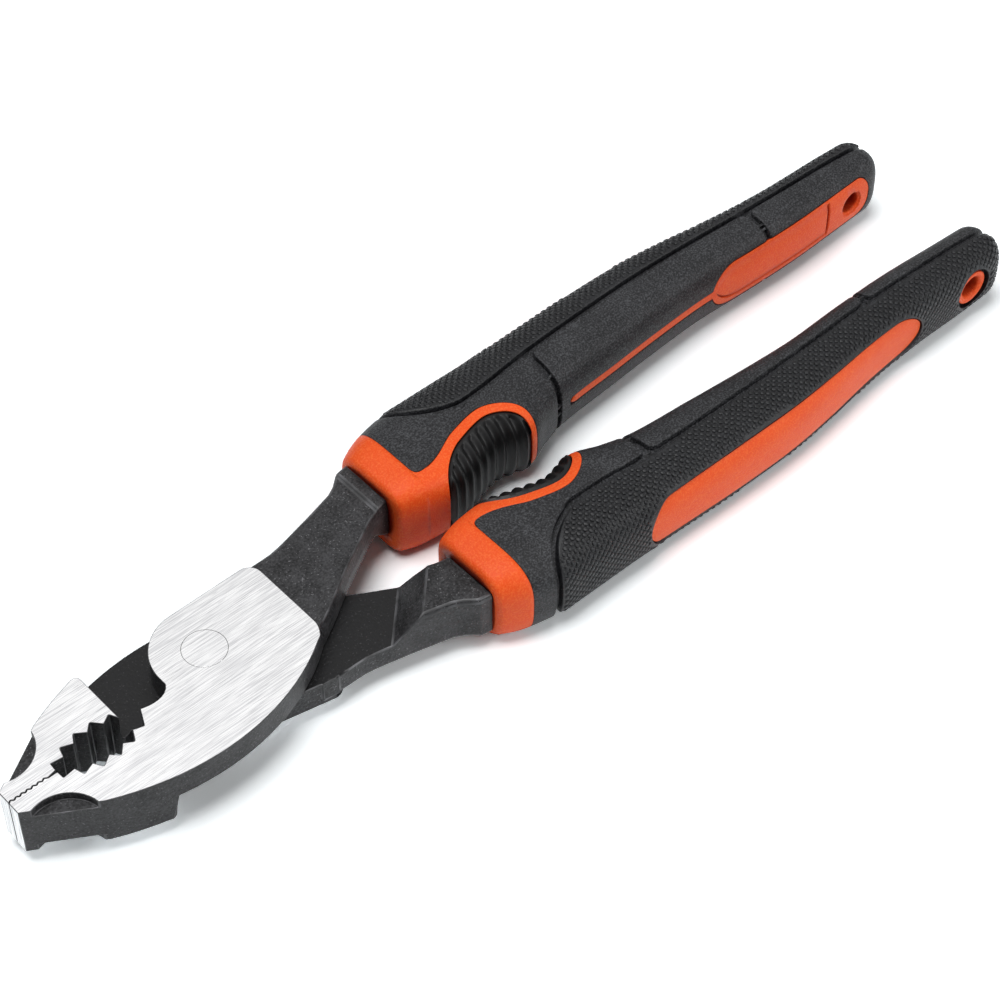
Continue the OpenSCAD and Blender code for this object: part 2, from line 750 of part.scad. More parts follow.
// Knobbed pad on the outer side, with windows for the oval and the eyelet
pad_spacing = [0, 0.22, 0.42, 0.6, 0.74, 0.84, 0.9, 0.94, 0.97, 1];
module outer_pad() {
    n_front = 8;
    n_long = 22;
    n_tip = 6;
    n_across = oval_turn_steps;
    n = n_front + n_long + n_tip + n_across;
    corner_s = pad_front_s(90);
    tip_s = bend_x + bend_len;
    window = oval_places(n - 2 * oval_turn_steps, half_groove);
    function edge(side) = concat(
        [for (i = [0 : n_front])
            let (a = 90 * i / n_front, s = pad_front_s(a)) [s, pad_front_share(a) * pad_edge(s, side)]],
        [for (i = [1 : n_long]) let (s = mix(corner_s, bend_x, i / n_long)) [s, pad_edge(s, side)]],
        [for (i = [1 : n_tip]) let (s = mix(bend_x, tip_s, i / n_tip)) [s, pad_edge(s, side)]],
        [for (i = [1 : n_across]) [tip_s, pad_edge(tip_s, side) * (1 - i / n_across)]]
    );
    difference() {
        shell(
            concat(window, minus(below(window))),
            concat(edge(1), minus(below(edge(-1)))),
            0, rubber_t, pad_spacing, true
        );
        hang_hole(eyelet_r + half_groove);
    }
}

module hang_hole(r) {
    translate([hang_x, 0, 0])
        rotate([-90, 0, 0])
            cylinder(h = grip_outer + over, r = r);
}

// Orange core: collar, sleeve on the tang, rim, spear, oval and eyelet
module core() {
    n_round = 24;
    collar_rings = [for (t = steps(4)) [mix(collar_reach, collar_back, t), 0]];
    edge_len = 0.02;
    body_rings = [for (t = steps(24)) [mix(collar_back + edge_len, bend_x - tip_r, t), core_depth]];
    tip_depth = core_depth + 2 * bond_gap;
    tip_rings = [for (t = steps(4)) [mix(bend_x, bend_x + bend_len, t), tip_depth]];
    rings = concat(collar_rings, body_rings, tip_rings);
    root_depth = 0.5;
    sink = core_depth + root_depth;
    difference() {
        union() {
            loft([for (f = rings) [for (j = [0 : n_round - 1]) skin(f[0], 360 * j / n_round, f[1])]]);
            rim(sink);
            spear(sink);
            oval_inlay(sink);
            eyelet();
        }
        tang(tang_clear);
        hang_hole(hang_r);
    }
}

module rim(sink) {
    n_front = 3;
    rim_gap = 3;
    rim_top = rim_places(0);
    inside = thumb_places(rim_gap, n_front + len(rim_top) - 1);
    start_s = collar_back - half_groove;
    outside = concat(
        [for (i = [0 : n_front - 1]) [start_s, mix(180, rim_top[0][1], i / n_front)]],
        rim_top
    );
    shell(
        concat(reversed(inside), all_below(inside)),
        concat(reversed(outside), all_below(outside)),
        inlay_depth / 2, sink, steps(2), true
    );
}

module spear(sink) {
    n_field = 6;
    n_end = 5;
    end_turn = 80;
    front_s = collar_reach + spear_start + spear_gap;
    flat_s = spear_field + spear_flare;
    bend_s = spear_end - spear_round;
    edge = concat(
        [for (s = spear_front(front_s, 0)) [s, 180 - spear_angle(s, 0)]],
        [for (i = [1 : n_field]) let (s = mix(flat_s, bend_s, i / n_field)) [s, 180 - spear_angle(s, 0)]],
        [for (i = [1 : n_end])
            let (a = end_turn * i / n_end, s = bend_s + spear_round * sin(a))
            [s, 180 - spear_angle(s, 0) * cos(a)]]
    );
    shell(edge, all_below(edge), inlay_depth, sink, steps(4), false);
}

module oval_inlay(sink) {
    n = 10;
    places = oval_places(n, 0);
    edge = [for (i = [1 : len(places) - 2]) places[i]];
    shell(minus(all_below(edge)), edge, inlay_depth, sink, steps(4), false);
}

module eyelet() {
    reach = along(grip_plan, share(hang_x), 1) - 1.5 * inlay_depth;
    depth = core_depth + eyelet_r / 2;
    translate([hang_x, reach - depth, 0])
        rotate([-90, 0, 0])
            cylinder(h = depth, r = eyelet_r);
}

// Each handle carries the same six pieces, the rear one turned over about the length of the tool
module front_core() { color(orange) core(); }
module front_cheek() { color(rubber) cheek(); }
module front_thumb_pad() { color(rubber) thumb_pad(); }
module front_mid_panel() { color(rubber) mid_panel(); }
module front_end_panel() { color(rubber) end_panel(); }
module front_outer_pad() { color(knobbed) outer_pad(); }
module turned() { rotate([180, 0, 0]) children(); }
module rear_core() { color(orange) turned() core(); }
module rear_cheek() { color(rubber) turned() cheek(); }
module rear_thumb_pad() { color(rubber) turned() thumb_pad(); }
module rear_mid_panel() { color(rubber) turned() mid_panel(); }
module rear_end_panel() { color(rubber) turned() end_panel(); }
module rear_outer_pad() { color(knobbed) turned() outer_pad(); }

// The part's origin is the middle of its box, on the surface that it lies on
module placed() {
    translate([(jaw_reach - tip_reach) / 2, 0, grip_half_t]) children();
}

placed() front_lever();
placed() rear_lever();
placed() pivot_pin();
placed() front_core();
placed() front_cheek();
placed() front_thumb_pad();
placed() front_mid_panel();
placed() front_end_panel();
placed() front_outer_pad();
placed() rear_core();
placed() rear_cheek();
placed() rear_thumb_pad();
placed() rear_mid_panel();
placed() rear_end_panel();
placed() rear_outer_pad();
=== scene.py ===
"""Slip joint pliers with two-material grips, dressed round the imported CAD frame. Metres, in the frame's own axes."""

import json
from math import cos, pi, radians, sin

import bmesh
import bpy
import numpy as np
from mathutils import Matrix, Vector


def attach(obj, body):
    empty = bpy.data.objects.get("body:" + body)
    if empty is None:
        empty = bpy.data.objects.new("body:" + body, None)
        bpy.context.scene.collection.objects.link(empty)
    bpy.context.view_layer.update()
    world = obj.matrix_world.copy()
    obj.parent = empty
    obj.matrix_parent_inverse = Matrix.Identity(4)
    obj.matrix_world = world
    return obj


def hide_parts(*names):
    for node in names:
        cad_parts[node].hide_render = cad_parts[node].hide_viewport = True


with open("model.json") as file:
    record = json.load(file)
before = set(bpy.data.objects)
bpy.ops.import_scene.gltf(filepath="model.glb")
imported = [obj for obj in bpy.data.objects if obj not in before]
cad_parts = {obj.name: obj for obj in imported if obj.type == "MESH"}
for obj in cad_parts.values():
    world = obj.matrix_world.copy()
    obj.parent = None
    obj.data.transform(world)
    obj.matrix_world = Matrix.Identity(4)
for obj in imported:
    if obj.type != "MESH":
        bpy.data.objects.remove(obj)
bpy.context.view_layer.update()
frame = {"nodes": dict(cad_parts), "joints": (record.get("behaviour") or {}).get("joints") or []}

# The studio: a pale table that runs into a white surround, one broad soft lamp overhead and a smaller one
# at the front on the right. The camera looks down over the jaws at the photograph's angle.

scene = bpy.context.scene
scene.view_settings.view_transform = "Standard"


class Level:
    """A value that varies over a surface, so that masks and mixes are written as sums and products."""

    def __init__(self, finish, socket):
        self.finish = finish
        self.socket = socket

    def maths(self, operation, first, second):
        return self.finish.node("Math", {"operation": operation}, {0: first, 1: second})

    def __add__(self, other):
        return self.maths("ADD", self, other)

    def __sub__(self, other):
        return self.maths("SUBTRACT", self, other)

    def __rsub__(self, other):
        return self.maths("SUBTRACT", other, self)

    def __mul__(self, other):
        return self.maths("MULTIPLY", self, other)

    __radd__ = __add__
    __rmul__ = __mul__


class Finish:
    """The nodes of one finish, on a material or on the surround."""

    def __init__(self, owner):
        self.owner = owner
        owner.use_nodes = True
        self.tree = owner.node_tree
        self.tree.nodes.clear()

    def node(self, kind, settings, sockets, out=0):
        made = self.tree.nodes.new("ShaderNode" + kind)
        for name, value in settings.items():
            setattr(made, name, value)
        for name, value in sockets.items():
            if isinstance(value, Level):
                self.tree.links.new(value.socket, made.inputs[name])
            else:
                made.inputs[name].default_value = value
        return Level(self, made.outputs[out])

    def between(self, low, high, level):
        """0 where the level is at most low, 1 from high on, and a smooth step between them."""
        return self.node("MapRange", {"interpolation_type": "SMOOTHSTEP"}, {0: level, 1: low, 2: high})

    def mixed(self, level, low, high):
        """Goes from the colour low to the colour high as the level goes from 0 to 1."""
        return self.node("Mix", {"data_type": "RGBA"}, {0: level, 6: low, 7: high}, out=2)

    def finished(self, surface, output="OutputMaterial"):
        self.tree.links.new(surface.socket, self.tree.nodes.new("ShaderNode" + output).inputs["Surface"])
        return self.owner


def placed(name, data):
    """A new object in the scene."""
    thing = bpy.data.objects.new(name, data)
    scene.collection.objects.link(thing)
    return thing


def ray_is(finish, kind):
    """1 for the rays of one kind, such as the camera's own."""
    return finish.node("LightPath", {}, {}, out=f"Is {kind} Ray")


surround_light = 0.1
wall_light = 0.4
wall_top = 0.1
ceiling_edge = 0.7
surround = Finish(bpy.data.worlds.new("surround"))
scene.world = surround.owner
way = surround.node("TexCoord", {}, {}, out="Generated")
ceiling = surround.between(wall_top, ceiling_edge, surround.node("SeparateXYZ", {}, {0: way}, out="Z"))
shown = ray_is(surround, "Camera") + ray_is(surround, "Transmission")
mirrored = ray_is(surround, "Glossy") * (ceiling * (1 - wall_light) + wall_light - surround_light)
strength = shown * (1 - surround_light) + mirrored + surround_light
surround.finished(surround.node("Background", {}, {"Color": (1, 1, 1, 1), "Strength": strength}), "OutputWorld")

table_colour = (0.76, 0.76, 0.76, 1)
table_seen = (1.43, 1.48, 1.5, 1)
table_half = 3
square = ((-1, -1), (1, -1), (1, 1), (-1, 1))
table_corners = [(x * table_half, y * table_half, 0) for x, y in square]
table = bpy.data.meshes.new("table")
table.from_pydata(table_corners, [], [(0, 1, 2, 3)])
white = Finish(bpy.data.materials.new("white_table"))
paper = white.node("BsdfDiffuse", {}, {"Color": table_colour})
whiter = white.node("BsdfDiffuse", {}, {"Color": table_seen})
seen = ray_is(white, "Camera") + ray_is(white, "Glossy") + ray_is(white, "Transmission")
table.materials.append(white.finished(white.node("MixShader", {}, {0: seen, 1: paper, 2: whiter})))
table_top = placed("table", table)

camera_at = Vector((-0.2072, -0.2300, 0.3556))
camera_right = Vector((0.7470, -0.6648, 0))
camera_up = Vector((0.4987, 0.5604, 0.6613))
camera_lens = 99
camera_sensor = 36
nearest_seen = 0.01
camera = placed("camera", bpy.data.cameras.new("camera"))
camera.data.lens = camera_lens
camera.data.sensor_width = camera_sensor
camera.data.clip_start = nearest_seen
axes = Matrix((camera_right, camera_up, camera_right.cross(camera_up))).transposed()
camera.matrix_world = Matrix.Translation(camera_at) @ axes.to_4x4()
scene.camera = camera


def lamp(name, place, size, power):
    """A round soft lamp that points at the tool."""
    light = bpy.data.lights.new(name, "AREA")
    light.shape = "DISK"
    light.size = size
    light.energy = power
    held = placed(name, light)
    held.location = place
    held.rotation_euler = (-Vector(place)).to_track_quat("-Z", "Y").to_euler()


lamp("key", place=(-0.16, 0.06, 0.98), size=0.66, power=7.6)
lamp("fill", place=(0.42, -0.78, 0.48), size=0.5, power=4)

# The two levers: drop-forged steel, blackened all over and then ground bright on the flat faces of the head
# and on the ends of the jaws. Each is one piece from nose to tang.

head_top = 13.35e-3
head_bottom = 3.15e-3
nose_end = -102.7e-3
face_play = 2e-5
brush_turn = radians(11)


def linear(red, green, blue):
    """A colour as it is read from the picture, 0 to 255, for a shader."""
    shares = [v / 255 for v in (red, green, blue)]
    return tuple(v / 12.92 if v < 0.04045 else ((v + 0.055) / 1.055) ** 2.4 for v in shares) + (1,)


def grain(finish, scale, detail, stretch=(1, 1, 1), turn=0.0):
    """Noise at a number of specks per metre, in the tool's own axes."""
    place = finish.node("TexCoord", {}, {}, out="Object")
    laid = finish.node("Mapping", {}, {"Vector": place, "Rotation": (0, 0, turn), "Scale": stretch})
    return finish.node("TexNoise", {}, {"Vector": laid, "Scale": scale, "Detail": detail})


def bumped(finish, level, strength, height):
    return finish.node("Bump", {}, {"Height": level, "Strength": strength, "Distance": height})


def ground_steel():
    """Bright steel off a belt: short fine scratches, some of them deep, with soft clouds under them."""
    steel = Finish(bpy.data.materials.new("ground_steel"))

    def scratches(lengthways, crossways, detail):
        """Marks of the belt, so many per metre along its run and across it."""
        return grain(steel, 1, detail, (lengthways, crossways, lengthways), -brush_turn)

    fine, broad, gouges = scratches(190, 8200, 3), scratches(120, 5200, 2), scratches(200, 8000, 2)
    clouds = grain(steel, 110, 2)
    streaks = fine * 0.66 + broad * 0.24 + clouds * 0.1
    scratched = steel.between(0.38, 0.64, streaks)
    deep = steel.between(0.62, 0.72, gouges)
    colour = steel.mixed(scratched, linear(194, 194, 196), linear(248, 248, 248))
    colour = steel.mixed(deep * 0.6, colour, linear(150, 150, 153))
    return steel.finished(steel.node("BsdfPrincipled", {}, {
        "Base Color": colour,
        "Metallic": 1.0,
        "Roughness": 0.36 - scratched * 0.1,
        "Normal": bumped(steel, streaks, 0.1, 2e-5),
    }))


def black_steel(name, low, high, speck, shine):
    """Blackened steel: satin, with a fine scaly grain and a scatter of pale specks."""
    black = Finish(bpy.data.materials.new(name))
    scale = grain(black, 2400, 3)
    specks = black.between(0.66, 0.74, grain(black, 3000, 1))
    clouds = grain(black, 260, 3)
    mottle = black.between(0.3, 0.7, scale * 0.6 + clouds * 0.4)
    colour = black.mixed(mottle, linear(low, low, low + 1), linear(high, high, high + 2))
    colour = black.mixed(specks * speck, colour, linear(150, 150, 153))
    return black.finished(black.node("BsdfPrincipled", {}, {
        "Base Color": colour,
        "Roughness": 0.32 + scale * 0.22,
        "Specular IOR Level": shine,
        "Normal": bumped(black, scale, 0.6, 1e-4),
    }))


def rubbed_steel():
    """Edges from which handling has worn part of the black."""
    rubbed = Finish(bpy.data.materials.new("rubbed_steel"))
    worn = rubbed.between(0.35, 0.75, grain(rubbed, 320, 3))
    return rubbed.finished(rubbed.node("BsdfPrincipled", {}, {
        "Base Color": rubbed.mixed(worn, linear(26, 26, 28), linear(92, 92, 95)),
        "Metallic": worn * 0.4,
        "Roughness": 0.4 - worn * 0.06,
    }))


bright = ground_steel()
forged = black_steel("forged_steel", 8, 66, 0.4, 0.22)
# Partly painted shade: the lapped faces are smooth black, kept darker than the forged black partly for the shade they
# lie in, sunk beside the other lever's boss.
lapped_and_painted_shade = black_steel("lapped_steel_painted_shade", 6, 14, 0.1, 0.24)
rubbed = rubbed_steel()


def welded(node):
    """A copy of a CAD solid's mesh with whole flat faces."""
    body = bmesh.new()
    body.from_mesh(frame["nodes"][node].data)
    bmesh.ops.remove_doubles(body, verts=body.verts, dist=2e-6)
    bmesh.ops.dissolve_limit(body, angle_limit=radians(0.5), verts=body.verts, edges=body.edges)
    bmesh.ops.recalc_face_normals(body, faces=body.faces)
    return body


def meshed(name, solid):
    """The mesh of a worked solid, which is then let go."""
    mesh = bpy.data.meshes.new(name)
    solid.to_mesh(mesh)
    solid.free()
    return mesh


def is_level(face):
    return abs(face.normal.z) > 0.999


def is_ground(face):
    """Whether a face is one of the head's flats or the end of a jaw."""
    middle = face.calc_center_median()
    on_flat = min(abs(middle.z - head_top), abs(middle.z - head_bottom)) < face_play and is_level(face)
    return on_flat or (face.normal.x < -0.98 and middle.x < nose_end)


def lever_finish(face):
    """Bright on the ground faces, a smooth black where the levers lap that is darker partly as painted shade, and
    forged black elsewhere.
    """
    if is_ground(face):
        return 1
    return 2 if is_level(face) and abs(face.calc_center_median().z - lap_z) < lap_play else 0


def is_upright(edge):
    way = edge.verts[1].co - edge.verts[0].co
    return abs(way.z) > 0.99 * way.length


def is_sharp(edge):
    return len(edge.link_faces) == 2 and edge.calc_face_angle() > sharp_from


def corners_rounded(solid, plateau_round):
    """Rounds the upright corners at the end of the jaw's plateau and at the end of the ground face."""
    for x, radius in ((plateau_end, plateau_round), (ground_end, ground_round)):
        corners = [
            edge for edge in solid.edges
            if is_upright(edge) and is_sharp(edge)
            and abs(edge.verts[0].co.x - x) < corner_play and abs(edge.verts[0].co.y) > corner_clear
        ]
        bmesh.ops.bevel(solid, geom=corners, offset=radius, segments=6, profile=0.5, affect="EDGES")


def lever_break(edge):
    """How far an edge of a lever is broken: hardly at the bore, and most on the pipe teeth and the neck."""
    middle = (edge.verts[0].co + edge.verts[1].co) / 2
    if (middle.xy - Vector(pivot).xy).length < bore_reach:
        return bore_break
    if is_upright(edge) and pipe_from < middle.x < plateau_end:
        return pipe_break
    return neck_break if middle.x > neck_from and not any(is_ground(face) for face in edge.link_faces) else head_break


def steel_piece(node, solid, body, finishes, choose, break_at):
    """A steel part with its sharp edges broken, in the last of its finishes, and its flats kept flat."""
    sharp = solid.edges.layers.float.new("bevel_weight_edge")
    for edge in solid.edges:
        edge[sharp] = break_at(edge) / neck_break if is_sharp(edge) else 0
    for face in solid.faces:
        face.material_index = choose(face)
        face.smooth = True
    mesh = meshed(node + "_steel", solid)
    for finish in finishes:
        mesh.materials.append(finish)
    mesh.set_sharp_from_angle(angle=sharp_from)
    piece = placed(node + "_steel", mesh)
    broken = piece.modifiers.new("broken_edges", "BEVEL")
    broken.width = neck_break
    broken.segments = 3
    broken.limit_method = "WEIGHT"
    broken.use_clamp_overlap = False
    broken.miter_outer = "MITER_ARC"
    broken.material = len(finishes) - 1
    flat = piece.modifiers.new("flat_faces", "WEIGHTED_NORMAL")
    flat.keep_sharp = True
    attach(piece, body)
    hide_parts(node)


pivot = frame["joints"][0]["pos_m"]
sharp_from = radians(24)
lap_z = 8.25e-3
lap_play = 0.1e-3
pipe_from = -93e-3
pipe_break = 0.24e-3
plateau_end = -80.7e-3
ground_end = -45.8e-3
ground_round = 2e-3
corner_play = 1e-5
corner_clear = 5e-3
neck_from = -57.5e-3
neck_break = 0.26e-3
head_break = 0.12e-3
bore_reach = 4e-3
bore_break = 0.02e-3
for node, body, slot, plateau_round in (
    ("front_lever", "front_half", "bright_steel", 2.4e-3),
    ("rear_lever", "rear_half", "black_steel", 1.3e-3),
):
    lever = welded(node)
    corners_rounded(lever, plateau_round)
    steel_piece(node, lever, body, (forged, bright, lapped_and_painted_shade, rubbed), lever_finish, lever_break)

# The pivot pin: turned steel with a flared end that is ground flush with the head, two flats on its
# middle that pass the slot, and a round head on the rear side.

pin_break = 0.03e-3
steel_piece("pivot_pin", welded("pivot_pin"), "pin", (bright,), lambda face: 0, lambda edge: pin_break)

# The cores: hard orange plastic, moulded over the tangs. What shows is the collar, the rim round the thumb pad,
# the line and the sunk field on the inner side, the oval on the outer side and the eyelet of the hanging hole.

pivot_offset = 3.1
origin = np.array([pivot[0], pivot[1] - pivot_offset / 1000, pivot[2]])
turned_over = (
    Matrix.Translation((0, 0, origin[2])) @ Matrix.Rotation(pi, 4, "X") @ Matrix.Translation((0, 0, -origin[2]))
)

collar_reach = 41.7
collar_len = 5.5
collar_back = collar_reach + collar_len
grip_len = 123.5
tip_reach = collar_reach + grip_len
tip_r = 4.0
bend_x = tip_reach - tip_r
bend_len = tip_r * pi / 2
# Share of the grip's length, outer edge, inner edge, half thickness, squareness of the outer and inner sides
grip_plan = np.array([
    [0, 20.2, 4.7, 7.2, 3.4, 5],
    [0.023, 21.6, 3.9, 7.9, 3.3, 5],
    [0.045, 22.6, 3.3, 8.2, 3.2, 4.6],
    [0.09, 23.9, 2.5, 8.25, 3, 3.6],
    [0.132, 23.9, 3.6, 8.25, 3, 3.2],
    [0.185, 23.8, 5.2, 8.2, 3, 3],
    [0.237, 23.9, 3.8, 8.1, 3, 3],
    [0.278, 24.1, 5.7, 8.05, 2.9, 3],
    [0.326, 24.3, 7.3, 8, 2.8, 3],
    [0.424, 24.6, 8.3, 7.9, 2.8, 3],
    [0.529, 24.4, 9.3, 7.8, 2.8, 3],
    [0.618, 23.3, 9.8, 7.6, 2.8, 3],
    [0.715, 21.6, 9.4, 7.4, 2.8, 3],
    [0.812, 20.6, 9.3, 7.2, 2.8, 3],
    [0.917, 20.4, 9.9, 7, 2.8, 3],
    [1, 20, 10.4, 6.8, 2.8, 3],
])
tip_half_w = (grip_plan[-1, 1] - grip_plan[-1, 2]) / 2
s_last = bend_x + bend_len + tip_half_w - tip_r - 0.2


def along(s, column, plan=grip_plan):
    """A smooth curve through one column of a plan."""
    x = plan[:, 0]
    y = plan[:, column]
    slope = np.empty_like(y)
    slope[1:-1] = (y[2:] - y[:-2]) / (x[2:] - x[:-2])
    slope[0] = (y[1] - y[0]) / (x[1] - x[0])
    slope[-1] = (y[-1] - y[-2]) / (x[-1] - x[-2])
    at = (np.minimum(s, bend_x) - collar_reach) / grip_len
    i = np.clip(np.searchsorted(x, at, "right") - 1, 0, len(x) - 2)
    gap = x[i + 1] - x[i]
    u = np.clip((at - x[i]) / gap, 0, 1)
    rise = 3 * u**2 - 2 * u**3
    return (1 - rise) * y[i] + rise * y[i + 1] + gap * ((u**3 - 2 * u**2 + u) * slope[i] + (u**3 - u**2) * slope[i + 1])


def section(s, depth):
    """Cross section of a grip at s along the handle and round its tip: x, middle y, half width, half thickness."""
    outer, inner = along(s, 1), along(s, 2)
    r = tip_r - depth
    turn = np.clip((s - bend_x) / tip_r, 0, pi / 2)
    flat = np.maximum(s - bend_x - bend_len, 0)
    lost = depth + r * (1 - np.cos(turn)) + flat * (tip_half_w - depth) / tip_half_w
    half_w = (outer - inner) / 2
    thin = (along(s, 3) - half_w) * (1 - np.minimum(flat / (tip_half_w - tip_r), 1))
    x = np.minimum(s, bend_x) + r * np.sin(turn)
    return x, (outer + inner) / 2, half_w - lost, half_w - lost + thin


def squareness(s, c):
    """Power of the rounded square: that of the outer side where c is not below 0."""
    return np.where(c >= 0, along(s, 4), along(s, 5))


def on_section(s, phi, depth):
    """The point at the angle phi round a section: 0 is the outer side, pi the inner side."""
    x, middle, half_w, half_t = section(s, depth)
    c, k = np.cos(phi), np.sin(phi)
    power = squareness(s, c)
    half_w, half_t = np.maximum(half_w, 1e-3), np.maximum(half_t, 1e-3)
    reach = ((np.abs(c) / half_w) ** power + (np.abs(k) / half_t) ** power) ** (-1 / power)
    return np.stack(np.broadcast_arrays(x, middle + reach * c, reach * k), -1)


# Distances over the skin from the middle of the outer side, for a fan of angles at close steps along the grip
skin_steps = 520
skin_angles = 361
skin_s = np.linspace(collar_reach, s_last, skin_steps)
skin_phi = np.linspace(0, pi, skin_angles)
fan = on_section(skin_s[:, None], skin_phi[None, :], 0.0)
fan_steps = np.linalg.norm(np.diff(fan, axis=1), axis=2)
skin_girth = np.concatenate([np.zeros((skin_steps, 1)), np.cumsum(fan_steps, axis=1)], axis=1)


def skin_rows(s):
    """The fan's distances at s."""
    k = np.clip((s - skin_s[0]) / (skin_s[1] - skin_s[0]), 0, skin_steps - 1.001)
    low = k.astype(int)
    share = (k - low)[..., None]
    return skin_girth[low] * (1 - share) + skin_girth[low + 1] * share


def half_girth(s):
    """Distance over the skin from the outer side's middle to the inner side's."""
    return np.interp(s, skin_s, skin_girth[:, -1])


def neighbours(rows, low):
    """The values of each row at its own place low and at the next one."""
    return [np.take_along_axis(rows, (low + i)[..., None], -1)[..., 0] for i in (0, 1)]


def girth(s, phi):
    """Distance over the skin from the middle of the outer side to the angle phi."""
    k = np.clip(phi / skin_phi[1], 0, skin_angles - 1.001)
    low = k.astype(int)
    start, stop = neighbours(skin_rows(s), low)
    return start * (1 - (k - low)) + stop * (k - low)


def skin(s, w, depth, outer=False):
    """The point a distance w over the skin from the middle of the inner or outer side, upwards where w is positive,
    and a depth below the skin."""
    s, w, depth = np.broadcast_arrays(*(np.asarray(v, float) for v in (s, w, depth)))
    flat_s, flat_w = s.ravel(), w.ravel()
    half = half_girth(flat_s)
    around = np.abs(flat_w) if outer else half - np.abs(flat_w)
    over = np.where(around < 0, -1, 1) * np.where(flat_w < 0, -1, 1)
    around = np.clip(np.abs(around), 0, half)
    rows = skin_rows(flat_s)
    low = np.clip((rows <= around[:, None]).sum(1) - 1, 0, skin_angles - 2)
    start, stop = neighbours(rows, low)
    phi = skin_phi[low] + (around - start) / np.maximum(stop - start, 1e-9) * skin_phi[1]
    points = on_section(flat_s, phi, depth.ravel())
    points[:, 2] *= over
    return points.reshape(s.shape + (3,))


def angle_at_z(s, z, side):
    """Angle of the skin's point at the height z, on the outer (1) or the inner (-1) side."""
    _, _, half_w, half_t = section(s, 0.0)
    k = np.clip(z / half_t, 0, 0.99)
    power = along(s, 4 if side > 0 else 5)
    return np.arctan2(k * half_t, side * half_w * (1 - k**power) ** (1 / power))


def angle_at_turn(s, degrees):
    """Angle of the skin's point at a turn of the rounded square's own parameter."""
    _, _, half_w, half_t = section(s, 0.0)
    c, k = np.cos(np.radians(degrees)), np.sin(np.radians(degrees))
    power = squareness(s, c)
    return np.arctan2(half_t * np.abs(k) ** (2 / power), half_w * np.sign(c) * np.abs(c) ** (2 / power))


def from_outer(s, phi):
    """A place on the skin: s, and the distance from the middle of the outer side."""
    s, phi = np.broadcast_arrays(np.asarray(s, float), np.asarray(phi, float))
    return np.stack([s, girth(s, phi)], -1)


def from_inner(s, phi):
    """The same place with its distance from the middle of the inner side."""
    place = from_outer(s, phi)
    place[..., 1] = half_girth(place[..., 0]) - place[..., 1]
    return place


def crossing(s, start, stop, n):
    """n places on a straight line across the skin at s."""
    return np.stack([np.full(n, s), np.linspace(start, stop, n)], -1)


def run_of(line):
    """How far along a line each of its places is."""
    return np.concatenate([[0], np.cumsum(np.linalg.norm(np.diff(line, axis=0), axis=1))])


def evenly(line, n, start=0.0, stop=None):
    """n places at equal steps on a line, or on its stretch from start to stop."""
    run = run_of(line)
    at = np.linspace(start, run[-1] if stop is None else stop, n)
    return np.stack([np.interp(at, run, line[:, c]) for c in (0, 1)], -1)


def softened(line, radius):
    """Rounds the corners of an open line, and leaves its ends where they are."""
    step = 0.1
    dense = evenly(line, int(run_of(line)[-1] / step) + 2)
    reach = int(radius / step)
    padded = np.concatenate([
        2 * dense[0] - dense[reach:0:-1], dense, 2 * dense[-1] - dense[-2:-reach - 2:-1]
    ])
    window = np.hanning(2 * reach + 3)[1:-1]
    window /= window.sum()
    return np.stack([np.convolve(padded[:, c], window, "valid") for c in (0, 1)], -1)


def close_loop(upper, lower):
    """A closed line from its upper half and the mirror image of its lower half, which share both ends."""
    return np.concatenate([upper, lower[-2:0:-1] * (1, -1)])


def inset(loop, distance, side, wrap=False):
    """Moves a closed line sideways over the skin, to the left where side is 1."""
    way = np.roll(loop, -1, 0) - np.roll(loop, 1, 0)
    if wrap:
        half = half_girth(loop[:, 0])
        way[:, 1] = (way[:, 1] + half) % (2 * half) - half
    way /= np.linalg.norm(way, axis=1)[:, None]
    return loop + np.stack([-way[:, 1], way[:, 0]], -1) * np.reshape(distance, (-1, 1)) * side


def fillet(radius, steps):
    """Inset and depth of a rounded edge, from its wall up to the skin."""
    return [(radius * (1 - cos(a)), radius * (1 - sin(a))) for a in np.linspace(0, pi / 2, steps + 1)]


def ring_faces(rings, count):
    """Quads between neighbouring rings of count points, the last ring joined to the first."""
    return [
        (a * count + j, a * count + (j + 1) % count, b * count + (j + 1) % count, b * count + j)
        for a, b in zip(range(rings), [*range(1, rings), 0])
        for j in range(count)
    ]


def capped_faces(rings, count):
    """Faces of a closed form of rings, with its two end faces."""
    last = (rings - 1) * count
    return ring_faces(rings, count)[:last] + [tuple(range(k, k + count)) for k in (0, last)]


def raw_mesh(name, points, faces):
    """A mesh from points in millimetres in the front lever's frame."""
    mesh = bpy.data.meshes.new(name)
    mesh.from_pydata((np.asarray(points).reshape(-1, 3) / 1000 + origin).tolist(), [], faces)
    solid = bmesh.new()
    solid.from_mesh(mesh)
    bmesh.ops.remove_doubles(solid, verts=solid.verts, dist=1e-7)
    bmesh.ops.recalc_face_normals(solid, faces=solid.faces)
    solid.to_mesh(mesh)
    solid.free()
    return mesh


def slab(name, s, w, top, bottom, outer=False):
    """A closed plate over a grid of places on the skin, between two depths."""
    plates = [skin(s, w, depth, outer) for depth in (top, bottom)]
    rows, columns = plates[0].shape[:2]

    def cell(i, j, low):
        return (low * rows + i) * columns + j

    faces = [
        (cell(i, j, low), cell(i + 1, j, low), cell(i + 1, j + 1, low), cell(i, j + 1, low))[:: 1 - 2 * low]
        for low in (0, 1) for i in range(rows - 1) for j in range(columns - 1)
    ]
    rim = [(i, 0) for i in range(rows)] + [(rows - 1, j) for j in range(1, columns)]
    rim += [(i, columns - 1) for i in range(rows - 2, -1, -1)] + [(0, j) for j in range(columns - 2, 0, -1)]
    faces += [(cell(*a, 0), cell(*b, 0), cell(*b, 1), cell(*a, 1)) for a, b in zip(rim, rim[1:] + rim[:1])]
    return raw_mesh(name, np.concatenate([plate.reshape(-1, 3) for plate in plates]), faces)


